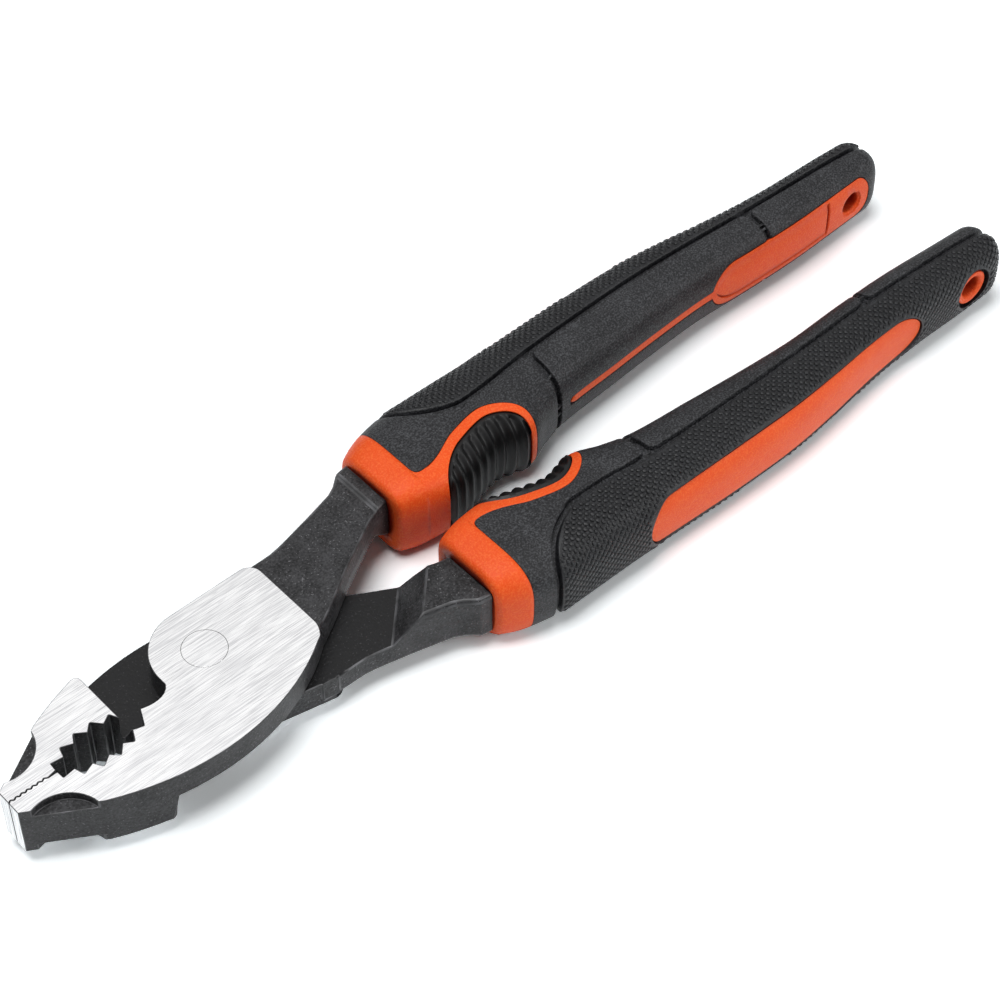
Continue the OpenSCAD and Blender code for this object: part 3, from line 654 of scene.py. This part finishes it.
def joined(mesh, others, operation):
    """Adds or cuts away closed meshes."""
    work = placed("work", mesh)
    tools = [placed("tool", other) for other in others]
    for tool in tools:
        step = work.modifiers.new("step", "BOOLEAN")
        step.operation = operation
        step.solver = "MANIFOLD"
        step.object = tool
    bpy.context.view_layer.update()
    result = bpy.data.meshes.new_from_object(work.evaluated_get(bpy.context.evaluated_depsgraph_get()))
    for used in [work, *tools]:
        bpy.data.objects.remove(used)
    return result


def on_both_handles(kind, mesh, finish, sharp):
    """Puts a grip piece on the front handle, and turned over on the rear one."""
    mesh.materials.clear()
    mesh.materials.append(finish)
    mesh.shade_smooth()
    mesh.set_sharp_from_angle(angle=radians(sharp))
    for handle in ("front", "rear"):
        shown = mesh.copy()
        if handle == "rear":
            shown.transform(turned_over)
        shown.name = f"{handle}_{kind}_grip"
        piece = placed(shown.name, shown)
        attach(piece, handle + "_half")
        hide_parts(f"{handle}_{kind}")


def turned_profile(name, profile, x, steps):
    """A solid of revolution about the hanging hole's axis, from radius and y."""
    turn = np.linspace(0, 2 * pi, steps, endpoint=False)
    rings = [np.stack([x + r * np.cos(turn), np.full(steps, y), r * np.sin(turn)], -1) for r, y in profile]
    return raw_mesh(name, np.concatenate(rings), ring_faces(len(rings), steps))


core_depth = 2.1
sink = core_depth + 0.5
inlay_depth = 0.4
thumb_x = collar_reach + 19.3
thumb_len = 19.2
thumb_angle = 66
rim_angle = 79
rim_front_angle = 70
rim_lead = 2
rim_back = thumb_len / 2 + 1.5
rear_squareness = 0.45
round_per_mm = 8
hang_x = tip_reach - 8.8
hang_r = 2.1
eyelet_r = 3.5
spear_start = collar_reach + 41.5
spear_end = tip_reach - 4.2
spear_field = spear_end - 41
spear_flare = 6
spear_line = 0.85
spear_depth = 0.1
spear_half = 4.9
spear_round = 3
oval_front = collar_reach + 31
oval_back = hang_x - eyelet_r - 10.7
oval_half = 5.9
oval_front_round = 5.2
oval_back_round = 6.6


def eased(t):
    """A smooth step from 0 to 1."""
    u = np.clip(t, 0, 1)
    return u * u * (3 - 2 * u)


def rim_line(gap):
    """Outer edge of the rim on the upper side, from the collar round the thumb pad to the inner side's middle."""
    s = np.linspace(collar_back, thumb_x, 40)
    climb = eased((s - collar_back - rim_lead) / (thumb_x - collar_back - 2 * rim_lead))
    rise = rim_front_angle + (rim_angle - rim_front_angle) * climb
    front = from_inner(s, angle_at_turn(s, 180 - rise - gap))
    a = np.radians(np.linspace(0, 90, 60))[1:]
    s = thumb_x + (rim_back + gap / round_per_mm) * np.sin(a) ** rear_squareness
    back = from_inner(s, angle_at_turn(s, 180 - (rim_angle + gap) * np.abs(np.cos(a)) ** rear_squareness))
    back[-1, 1] = 0
    return np.concatenate([front, back])


def thumb_line(grow, last=90):
    """Edge of the thumb pad on the upper side, front to back."""
    a = np.radians(np.linspace(-last, last, 240))
    power = np.where(a < 0, 2 / 3, rear_squareness)
    s = thumb_x + (thumb_len / 2 + grow / round_per_mm) * np.sign(np.sin(a)) * np.abs(np.sin(a)) ** power
    line = from_inner(s, angle_at_turn(s, 180 - (thumb_angle + grow) * np.abs(np.cos(a)) ** power))
    if last == 90:
        line[[0, -1], 1] = 0
    return line


def orange_plastic():
    """Moulded plastic with a fine leathery grain, and painted shade that darkens it to a deep red in its corners,
    channels and holes.
    """
    plastic = Finish(bpy.data.materials.new("orange_plastic"))
    leather = grain(plastic, 3200, 3)
    clouds = grain(plastic, 240, 2)
    colour = plastic.mixed(clouds, linear(236, 78, 24), linear(246, 90, 32))
    colour = plastic.mixed(plastic.between(0.42, 0.68, leather) * 0.5, colour, linear(255, 126, 62))
    # Painted shade: the colour turns a deep red wherever a point is closed in, in corners, channels and the hanging
    # hole.
    openness_for_painted_shade = plastic.node("AmbientOcclusion", {"samples": 8}, {"Distance": 5e-3}, out="AO")
    colour = plastic.mixed(plastic.between(0.2, 0.75, openness_for_painted_shade), linear(136, 26, 14), colour)
    return plastic.finished(plastic.node("BsdfPrincipled", {}, {
        "Base Color": colour,
        "Roughness": 0.34 + leather * 0.16,
        "Specular IOR Level": 0.2,
        "Normal": bumped(plastic, leather, 0.8, 1.4e-4),
    }))


round_steps = 144
around = np.linspace(0, 2 * pi, round_steps, endpoint=False)
collar_edge = 0.9
collar_wall = 2.4
collar_rings = [(collar_reach, collar_edge + collar_wall)]
collar_rings += [(collar_reach + i, d) for i, d in fillet(collar_edge, 5)]
collar_rings += [(s, 0) for s in np.linspace(collar_reach + collar_edge, collar_back, 8)[1:]]
collar_rings += [(s, core_depth) for s in np.linspace(collar_back + 0.02, bend_x, 30)]
collar_rings += [(s, core_depth + 0.6) for s in np.linspace(bend_x + 0.5, bend_x + bend_len, 5)]
body_points = np.concatenate([on_section(np.full(round_steps, s), around, d) for s, d in collar_rings])
core_body = raw_mesh("core_body", body_points, capped_faces(len(collar_rings), round_steps))


def moulded_ring(name, first, second, floor, across, wrap=False, outer=False):
    """A closed band between two closed lines. Each line comes with its side and its edge's insets and depths."""
    def moved(band, k):
        line, side, edge = band
        return inset(line, edge[k][0], side, wrap)

    def edge_rings(band):
        return [skin(*moved(band, k).T, depth, outer) for k, (_, depth) in enumerate(band[2])]

    def filling(start, stop, shares, depth):
        return [skin(*(start + (stop - start) * t).T, depth, outer) for t in shares]

    shares = np.linspace(0, 1, across)[1:-1]
    rings = edge_rings(first) + filling(moved(first, -1), moved(second, -1), shares, first[2][-1][1])
    rings += edge_rings(second)[::-1] + filling(moved(second, 0), moved(first, 0), shares[::2], floor)
    return raw_mesh(name, np.concatenate(rings), ring_faces(len(rings), len(first[0])))


rim_points = 220
rim_depth = 0.006
rim_inside = evenly(thumb_line(1.5), rim_points)
rim_front = collar_back - 0.5
rim_path = rim_line(0)
rim_outside = np.concatenate([crossing(rim_front, 0, rim_path[0, 1], 12), rim_path])
rim_outside = evenly(softened(rim_outside, 0.3), rim_points)
rim_edge = [(0, sink), (0, 0.3), (0, rim_depth + 0.1), (0.1, rim_depth)]
rim = moulded_ring(
    "rim",
    (close_loop(rim_inside, rim_inside), 1, rim_edge),
    (close_loop(rim_outside, rim_outside), -1, rim_edge),
    sink, 18,
)

# The rim runs into the collar with a round corner
collar_round = 3


def collar_line(front, gap):
    """Back edge of the collar from the middle of the outer side, then the rim's edge, with a round corner."""
    edge = rim_line(gap)
    edge[:, 0] = np.maximum(edge[:, 0], front)
    straight = crossing(front, half_girth(np.array(front)), edge[0, 1], 60)
    return softened(np.concatenate([straight, edge[1:]]), collar_round)


corner = rim_path[0]
corner_line = collar_line(collar_back, 0)
near_corner = np.linalg.norm(corner_line - corner, axis=1) < collar_round + 0.3
corner_line = evenly(corner_line[near_corner], 40)
corner_root = corner - 0.5
corner_grid = corner_root + (corner_line - corner_root)[:, None] * np.linspace(1, 0.1, 8)[:, None]
corner_depth = 0.014
corners = [
    slab(f"corner{side}", corner_grid[..., 0], side * corner_grid[..., 1], corner_depth, sink) for side in (1, -1)
]


def flared(s, start):
    """Half height of the field behind its round front."""
    share = np.clip((s - start) / spear_flare, 0, 1)
    return spear_half * np.sqrt(1 - (1 - share) ** 2)


def spear_z(s, gap):
    """Half height of the spear, from the line at its front to the full field."""
    return np.maximum(spear_line, flared(s, spear_field - gap)) + gap


def spear_span(s, z):
    """Distance over the skin from the middle of the inner side to the height z."""
    return half_girth(s) - girth(s, angle_at_z(s, z, -1))


# The field is a flat frame round a panel, with a fine channel under the panel and at its end
field_edge = 0.08
least_step = 0.01
frame_w = 0.75
frame_low = 1.25
panel_drop = 0.06
channel_w = 0.6
channel_depth = 0.5
channel_edge = 0.08
panel_start = spear_field + frame_w
panel_end = collar_reach + 108.4
quarter = np.linspace(0, pi / 2, 40)
spear_rows = np.unique(np.concatenate([
    np.linspace(spear_start, spear_field, 60),
    spear_field + spear_flare * (1 - np.cos(quarter)),
    panel_start + np.array([0, channel_edge]),
    np.linspace(spear_field + spear_flare, panel_end - 0.8, 40),
    panel_end - np.array([channel_w + channel_edge, channel_w, channel_edge, 0]),
    np.linspace(panel_end + 0.2, spear_end - spear_round, 14),
    spear_end - spear_round * (1 - np.sin(quarter[::2])),
]).round(6))
tip_close = np.clip((spear_rows - spear_end + spear_round) / spear_round, 0, 1)
front_close = np.clip((spear_rows - spear_start) / 1.2 + 0.08, 0, 1)
spear_w = spear_span(spear_rows, spear_z(spear_rows, 0) * np.sqrt(1 - 0.96 * tip_close**2) * np.sqrt(front_close))
panel_z = flared(spear_rows, panel_start)
panel_high = spear_span(spear_rows, np.maximum(panel_z - frame_w, 0))
panel_low = spear_span(spear_rows, np.maximum(panel_z - frame_low, 0))
in_field = (spear_rows > panel_start + 0.5 * channel_edge) & (spear_rows < panel_end - 0.5 * channel_edge)
in_channel = in_field & (spear_rows > panel_end - channel_w - 0.5 * channel_edge)
flat = np.full(len(spear_rows), spear_depth)
panel_at = flat + panel_drop * in_field + (channel_depth - panel_drop) * in_channel
channel_at = flat + channel_depth * in_field


def in_order(*columns):
    """Columns from the spear's edge towards its middle line, each a hair inside the one before."""
    place = np.arange(len(columns))
    inside = np.minimum(np.stack(columns, -1), spear_w[:, None] - least_step * place)
    return np.maximum(inside, least_step * (len(columns) - place))


upper_columns = in_order(
    spear_w, spear_w - field_edge, panel_high, panel_high - channel_edge, panel_high * 0.6, panel_high * 0.3
)
upper_depths = np.stack([flat + field_edge, flat, flat, panel_at, panel_at, panel_at], -1)
lower_columns = in_order(
    spear_w, spear_w - field_edge, panel_low, panel_low - channel_edge, panel_low - channel_w,
    panel_low - channel_w - channel_edge, panel_low * 0.6, panel_low * 0.3,
)
lower_columns = np.maximum.accumulate(lower_columns[:, ::-1], 1)
lower_depths = np.stack([panel_at, panel_at, panel_at, channel_at, channel_at, flat, flat, flat + field_edge], -1)
spear_columns = np.concatenate([upper_columns, 0 * flat[:, None], -lower_columns], 1)
spear_depths = np.concatenate([upper_depths, panel_at[:, None], lower_depths], 1)
spear = slab("spear", spear_rows[:, None], spear_columns, spear_depths, sink)


def oval_line(grow):
    """Upper edge of the outer oval, front to back: blunt at the front and drawn out towards the back."""
    front, back = oval_front - grow, oval_back + grow
    s = np.concatenate([
        front + oval_front_round * (1 - np.cos(quarter)),
        np.linspace(front + oval_front_round, back - oval_back_round, 120)[1:-1],
        back - oval_back_round * (1 - np.sin(quarter)),
    ])
    fullness = np.concatenate([np.sin(quarter), np.ones(118), np.cos(quarter)])
    place = (2 * s - oval_front - oval_back) / (oval_back - oval_front)
    z = (oval_half * (1 - 0.18 * place**2 - 0.07 * place) + grow) * fullness
    return from_outer(s, angle_at_z(s, z, 1))


oval_places = evenly(oval_line(0), 150)[1:-1]
oval_half_across = np.array([1, 0.985, 0.93, 0.8, 0.6, 0.4, 0.2])
oval_across = np.concatenate([oval_half_across, [0], -oval_half_across[::-1]])
oval_depth = inlay_depth + 0.1 * (np.abs(oval_across) > 0.99)
oval = slab("oval", oval_places[:, :1], oval_places[:, 1:] * oval_across, oval_depth, sink, True)

eyelet_y = float(along(np.array(hang_x), 1)) - 1.5 * inlay_depth
inner_y = float(along(np.array(hang_x), 2)) + inlay_depth
eyelet_root = 4.6
hole_axis = 0.01
hole_reach = 40
hole_steps = 96
eyelet = turned_profile("eyelet", [
    (hang_r - 0.5, eyelet_y - eyelet_root), (eyelet_r, eyelet_y - eyelet_root),
    (eyelet_r, eyelet_y - 0.3), (eyelet_r - 0.1, eyelet_y - 0.08), (eyelet_r - 0.3, eyelet_y),
    (hang_r + 0.8, eyelet_y), (hang_r + 0.5, eyelet_y - 0.08), (hang_r + 0.15, eyelet_y - 0.35),
    (hang_r, eyelet_y - 0.8), (hang_r - 0.5, eyelet_y - 0.8),
], hang_x, hole_steps)
bore = turned_profile("bore", [
    (hole_axis, 0), (hang_r + 0.5, 0), (hang_r + 0.5, inner_y), (hang_r + 0.2, inner_y + 0.12),
    (hang_r + 0.05, inner_y + 0.35), (hang_r, inner_y + 0.6), (hang_r, hole_reach), (hole_axis, hole_reach),
], hang_x, hole_steps)
lever_cut = meshed("lever_cut", welded("front_lever"))
core = joined(core_body, [rim, *corners, spear, oval, eyelet], "UNION")
core = joined(core, [bore, lever_cut], "DIFFERENCE")
on_both_handles("core", core, orange_plastic(), 32)

# The cheeks: black rubber sleeves behind the collars, moulded flush with the collar and the rim,
# with a groove towards the outer pad and the middle panel.


def black_rubber(name, low, high, rough):
    """Matte rubber off a spark-eroded mould: a fine sparkle over an even black."""
    rubber = Finish(bpy.data.materials.new(name))
    fine = grain(rubber, 3300, 3)
    clouds = grain(rubber, 140, 2)
    sparkle = rubber.between(0.4, 0.72, fine * 0.85 + clouds * 0.15)
    return rubber.finished(rubber.node("BsdfPrincipled", {}, {
        "Base Color": rubber.mixed(sparkle, linear(low, low, low + 3), linear(high, high + 1, high + 4)),
        "Roughness": rough + fine * 0.2,
        "Specular IOR Level": 0.28,
        "Normal": bumped(rubber, fine, 0.75, 1.4e-4),
    }))


rubber = black_rubber("black_rubber", 3, 73, 0.4)
groove_y = 15.8
half_groove = 0.6
# Share of the grip's length, shift of the long groove towards the outer side, and its lean on the upper side
groove_plan = np.array([
    [0, -1.4, 0],
    [0.185, -1.4, 0],
    [0.237, -0.9, 0.15],
    [0.278, -0.45, 0.27],
    [0.326, -0.05, 0.45],
    [0.424, 0.3, 0.75],
    [0.529, 0.4, 1.1],
    [0.618, 0.15, 1.3],
    [0.715, -0.2, 1.35],
    [0.812, -0.4, 1.25],
    [0.917, -0.45, 0.9],
    [1, -0.5, 0.2],
])
mid_x = collar_reach + 38.3
pad_front = collar_back + 5.4
pad_sweep = 12
groove_depth = 0.95
groove_round = 0.25
flush_wall = 0.5
flush_round = 0.1
groove_lap = half_groove + 0.4


def groove_edge(floor, deeper=0.0):
    """A rounded edge, its wall, and the floor of the groove beside it, which laps under the next piece."""
    depth = groove_depth + deeper
    return [(-groove_lap, floor), (-groove_lap, depth), (-0.06, depth)] + fillet(groove_round, 3)


def flush_edge(floor):
    """A hardly rounded edge and its plain wall."""
    return [(0, floor), (0, groove_depth), (0, flush_wall)] + fillet(flush_round, 3)


def groove_at(s, side):
    """Place of the long groove's middle on the upper (1) or the lower (-1) side."""
    return groove_y + along(s, 1, groove_plan) + side * along(s, 2, groove_plan)


def panel_edge(s, side):
    """Angle of the panels' edge along the long groove."""
    return np.maximum(angle_at_y(s, groove_at(s, side) - half_groove), 0.25)


def turn_at(s, y):
    """The rounded square's own parameter, in degrees, at y on the upper side."""
    _, middle, half_w, _ = section(s, 0.0)
    c = np.clip((y - middle) / half_w, -1, 1)
    power = squareness(s, c)
    return np.degrees(np.arccos(np.sign(c) * np.abs(c) ** (power / 2)))


def angle_at_y(s, y):
    """Angle of the skin's point at y, on the upper side."""
    return angle_at_turn(s, turn_at(s, y))


def sweep_line(shift, offset, side):
    """Front edge of the outer pad, from the middle of the outer side round to the long groove."""
    a = np.linspace(0, pi / 2, 90)
    s = pad_front + pad_sweep * (1 - np.cos(a)) - shift
    return s, angle_at_turn(s, np.sin(a) ** (2 / 3) * turn_at(s, groove_at(s, side) + offset))


cheek_points = 150
cheek_rear_s = mid_x - half_groove
cheek_front_s = collar_back + 0.06
cheek_t = 1.65
corner_round = 2.6


def cheek_rear(side):
    """Edge of the cheek along the outer pad and the middle panel."""
    strip = from_inner(*sweep_line(2 * half_groove, -half_groove, side))
    long_s = np.linspace(strip[-1, 0], cheek_rear_s, 40)
    long_edge = from_inner(long_s, panel_edge(long_s, side))
    cross_edge = crossing(cheek_rear_s, long_edge[-1, 1], 0, 40)
    return evenly(softened(np.concatenate([strip, long_edge[1:], cross_edge[1:]]), corner_round), cheek_points)


cheek_front = evenly(collar_line(cheek_front_s, 0.5), cheek_points)
cheek = moulded_ring(
    "cheek",
    (close_loop(cheek_rear(1), cheek_rear(-1)), -1, groove_edge(cheek_t)),
    (close_loop(cheek_front, cheek_front), 1, flush_edge(cheek_t)),
    cheek_t, 26, wrap=True,
)


def with_more(mesh, forms, count):
    """The same mesh with small closed forms beside it. A row of forms is one's points, in rings of count."""
    size = forms.shape[1]
    faces = capped_faces(size // count, count)
    more = raw_mesh("more", forms, [tuple(n * size + v for v in face) for n in range(len(forms)) for face in faces])
    together = bmesh.new()
    together.from_mesh(mesh)
    together.from_mesh(more)
    together.to_mesh(mesh)
    together.free()
    return mesh


web_half = 0.22
web_top = 0.3
web_lap = 0.25
web_root = groove_depth + 0.2
cheek_webs = (0.95, 7.8)


def webs(s, places):
    """Small bars across a groove, on both sides of the grip."""
    reach = half_groove + web_lap
    w = np.array([sign * place for place in places for sign in (1, -1)])
    return np.stack([
        skin(s + reach * x, w + web_half * y, depth) for depth in (web_root, web_top) for x, y in square
    ], 1)


cheek = with_more(cheek, webs(mid_x, cheek_webs), 4)
on_both_handles("cheek", cheek, rubber, 40)

# The thumb pads: softer, shinier rubber that is let into the orange rim and stands a little proud of it,
# with a row of ribs across the thumb's way.

thumb_ribs = 9
rib_rise = 0.06
rib_depth = 0.6
thumb_proud = 0.2
thumb_t = 1.5
thumb_rows = thumb_ribs * 12 + 1
thumb_columns = 34
rib_border = 0.7
rib_fade = 0.6
edge_drop = 0.45
edge_fade = 0.5


def thumb_rubber():
    """Shiny black rubber with a faint grain."""
    glossy = Finish(bpy.data.materials.new("thumb_rubber"))
    fine = grain(glossy, 3000, 2)
    colour = glossy.mixed(fine, linear(6, 6, 7), linear(17, 17, 18))
    return glossy.finished(glossy.node("BsdfPrincipled", {}, {
        "Base Color": colour,
        "Roughness": 0.36 + fine * 0.16,
        "Specular IOR Level": 0.26,
        "Normal": bumped(glossy, fine, 0.25, 5e-5),
    }))


thumb_edge = evenly(thumb_line(0.6, 84), thumb_rows)
thumb_share = np.linspace(-1, 1, thumb_columns)
thumb_share = np.sign(thumb_share) * (1 - (1 - np.abs(thumb_share)) ** 1.35)
thumb_grid = thumb_edge[:, 1:] * thumb_share
to_edge = thumb_edge[:, 1:] * (1 - np.abs(thumb_share))
rib_phase = (thumb_edge[:, 0] - thumb_edge[0, 0]) / (thumb_edge[-1, 0] - thumb_edge[0, 0]) * thumb_ribs
valley = (0.5 + 0.5 * np.cos(2 * pi * rib_phase)) ** 0.8
ribbed = eased((to_edge - rib_border) / rib_fade)
thumb_depth = (rib_depth * valley[:, None] - rib_rise) * ribbed - thumb_proud
thumb_depth = thumb_depth + edge_drop * (1 - eased(to_edge / edge_fade))
thumb_pad = slab("thumb_pad", thumb_edge[:, :1], thumb_grid, thumb_depth, thumb_t)
on_both_handles("thumb_pad", thumb_pad, thumb_rubber(), 50)

# The middle and end panels: black rubber over the inner side, slit by the spear, with rounded corners
# and grooves between them and towards the outer pad.


def moulded_panel(name, far_side, near_side, ends, floor, across):
    """A panel between a groove and the spear. far_side and near_side run from the upper end to the lower one."""
    rows = len(near_side)
    upper = np.linspace(near_side[0], far_side[0], ends)
    lower = np.linspace(far_side[-1], near_side[-1], ends)
    outline = softened(np.concatenate([upper, far_side[1:], lower[1:]]), corner_round)
    run = run_of(outline)[-1]
    share = np.linalg.norm(upper[-1] - upper[0]) - 0.3
    upper, far = evenly(outline, across, 0, share), evenly(outline, rows, share, run - share)
    lower = evenly(outline, across, run - share, run)
    loop = np.concatenate([upper, far[1:], lower[1:], near_side[-2:0:-1]])
    grooved = np.concatenate([np.ones(rows + 2 * across - 2), np.zeros(rows - 2)])
    grooved[0] = grooved[rows + 2 * across - 3] = 0.5
    side = np.sign(np.sum(loop[:, 0] * np.roll(loop[:, 1], -1) - np.roll(loop[:, 0], -1) * loop[:, 1]))
    rings = []
    for (deep_i, deep_d), (flush_i, flush_d) in zip(groove_edge(floor, 0.03), flush_edge(floor)):
        places = inset(loop, flush_i + (deep_i - flush_i) * grooved, side)
        rings.append((places, flush_d + (deep_d - flush_d) * grooved))
    points = [skin(*places.T, depth) for places, depth in rings]
    faces = ring_faces(len(rings), len(loop))[: -len(loop)]

    def filled(border, depth):
        """Grid inside a border: its first and last rows and columns are the border's own places."""
        a = border[across - 1 : across - 1 + rows]
        low = border[across + rows - 2 : 2 * across + rows - 2]
        b = np.concatenate([border[:1], border[2 * across + rows - 3 :][::-1]])
        up = border[:across]
        u = np.linspace(0, 1, rows)[:, None, None]
        v = np.linspace(0, 1, across)[None, :, None]
        grid = (1 - v) * b[:, None] + v * a[:, None] + (1 - u) * up[None] + u * low[::-1][None]
        grid -= (1 - u) * ((1 - v) * b[0] + v * a[0]) + u * ((1 - v) * b[-1] + v * a[-1])
        base = sum(len(p) for p in points)
        points.append(skin(grid[..., 0], grid[..., 1], depth).reshape(-1, 3))
        first = [base + i * across + j for i in range(rows - 1) for j in range(across - 1)]
        return [(k, k + across, k + across + 1, k + 1) for k in first]

    faces += filled(rings[-1][0], 0)
    faces += filled(rings[0][0], floor)
    return raw_mesh(name, np.concatenate(points), faces)


spear_gap = 0.12


def spear_edge(first, last):
    """Upper edge of the black panels beside the spear."""
    bend = spear_field - spear_gap + spear_flare * (1 - np.cos(quarter))
    s = np.concatenate([np.linspace(spear_start, bend[0], 100), bend[1:], np.linspace(bend[-1], spear_end, 100)[1:]])
    s = np.concatenate([[first], s[(s > first) & (s < last)], [last]])
    return from_inner(s, angle_at_z(s, spear_z(s, spear_gap), -1))


def whole(upper, lower):
    """An open line down from the upper side to the lower one, from two halves that end in the middle."""
    return np.concatenate([upper, lower[-2::-1] * (1, -1)])


def panel_far(first, last, rows, cross_rows):
    """Edge of a panel along the outer pad from first to last, and across the inner side at last."""
    s = np.linspace(first, last, rows)
    halves = []
    for side in (1, -1):
        line = from_inner(s, panel_edge(s, side))
        halves.append(np.concatenate([line, crossing(last, line[-1, 1], 0, cross_rows + 1)[1:]]))
    return whole(*halves)


rubber_t = 1.8
end_x = collar_reach + 92.4
mid_rear_s = end_x - half_groove
mid_front_s = mid_x + half_groove
near = spear_edge(spear_start, mid_rear_s)[::-1]
near = softened(np.concatenate([near, crossing(spear_start - 0.25, near[-1, 1], 0, 7)[1:]]), 0.4)
mid_near = evenly(whole(near, near), 261)
mid_panel = moulded_panel("mid_panel", panel_far(mid_rear_s, mid_front_s, 120, 60), mid_near, 40, rubber_t, 22)
on_both_handles("mid_panel", mid_panel, rubber, 40)

end_front_s = end_x + half_groove
bend_s = spear_end - spear_round
end_webs = (7.3, 8.3)
near = spear_edge(end_front_s, bend_s)
near = np.concatenate([near, np.stack([
    bend_s + (spear_end + spear_gap - bend_s) * np.sin(quarter[1:]), near[-1, 1] * np.cos(quarter[1:])
], -1)])
end_near = evenly(whole(near, near), 181)
end_panel = moulded_panel("end_panel", panel_far(end_front_s, s_last, 160, 20), end_near, 30, rubber_t, 18)
end_panel = with_more(end_panel, webs(end_x, end_webs), 4)
on_both_handles("end_panel", end_panel, rubber, 40)

# The outer pads: black rubber covered with small eight-sided knobs in staggered rows, smooth along their edges,
# with openings for the orange oval and for the eyelet.

knobbed = black_rubber("knobbed_rubber", 10, 44, 0.26)
pad_points = 240
pad_hole = eyelet_r + half_groove
window = evenly(oval_line(0.12), pad_points)


def pad_edge(side):
    """Edge of the pad along the cheek and the panels, to the middle of the tip."""
    sweep = from_outer(*sweep_line(0, half_groove, side))
    s = np.linspace(sweep[-1, 0], bend_x + bend_len - 0.3, 160)
    long_edge = from_outer(s, angle_at_y(s, groove_at(s, side) + half_groove))
    return evenly(softened(np.concatenate([sweep, long_edge[1:], [[bend_x + bend_len, 0]]]), 1.0), pad_points)


pad_window = close_loop(window, window)
pad_edges = [pad_edge(side) for side in (1, -1)]
pad_outline = close_loop(*pad_edges)
outer_pad = moulded_ring(
    "outer_pad",
    (pad_window, 1, flush_edge(rubber_t)),
    (pad_outline, -1, groove_edge(rubber_t, 0.06)),
    rubber_t, 24, outer=True,
)
eyelet_hole = turned_profile("eyelet_hole", [
    (hole_axis, 10), (eyelet_r + 0.02, 10), (eyelet_r + 0.02, eyelet_y - 0.7),
    (pad_hole, eyelet_y - 0.7), (pad_hole, hole_reach), (hole_axis, hole_reach),
], hang_x, hole_steps)
outer_pad = joined(outer_pad, [eyelet_hole], "DIFFERENCE")

knob_step = 1.44
knob_row = 0.694
knob_r = 0.47
knob_rise = 0.18
knob_border = 0.55
pad_reach = 30


def knob_places():
    """Staggered rows of places on the pad that are clear of its edges and openings."""
    count = int(pad_reach / knob_row)
    rows = np.arange(-count, count + 1)
    s = np.arange(pad_front, s_last, knob_step)
    grid_s = (s[None, :] + (rows[:, None] % 2) * knob_step / 2).ravel()
    grid_w = np.repeat(rows * knob_row, len(s))
    upper, lower = (np.interp(grid_s, *edge.T, left=0, right=0) for edge in pad_edges)
    opening = np.interp(grid_s, *window.T, left=0, right=0)
    inside = (grid_w < upper) & (-grid_w < lower) & (np.abs(grid_w) >= opening)
    grid_s, grid_w = grid_s[inside], grid_w[inside]
    at = skin(grid_s, grid_w, 0.0, True)
    clear = np.hypot(at[:, 0] - hang_x, at[:, 2]) > pad_hole + knob_border
    for line in (pad_outline, pad_window):
        fence = skin(*line.T, 0.0, True)
        clear &= np.array([np.linalg.norm(fence - p, axis=1).min() > knob_border for p in at])
    return grid_s[clear], grid_w[clear]


knob_s, knob_w = knob_places()
eight = np.arange(8) * pi / 4
knob_points = np.concatenate([
    skin(knob_s[:, None] + r * np.cos(eight), knob_w[:, None] + r * np.sin(eight), depth, True)
    for r, depth in ((knob_r, 0.2), (knob_r, -0.4 * knob_rise), (0.78 * knob_r, -knob_rise))
], 1)
outer_pad = with_more(outer_pad, knob_points, 8)
on_both_handles("outer_pad", outer_pad, knobbed, 55)
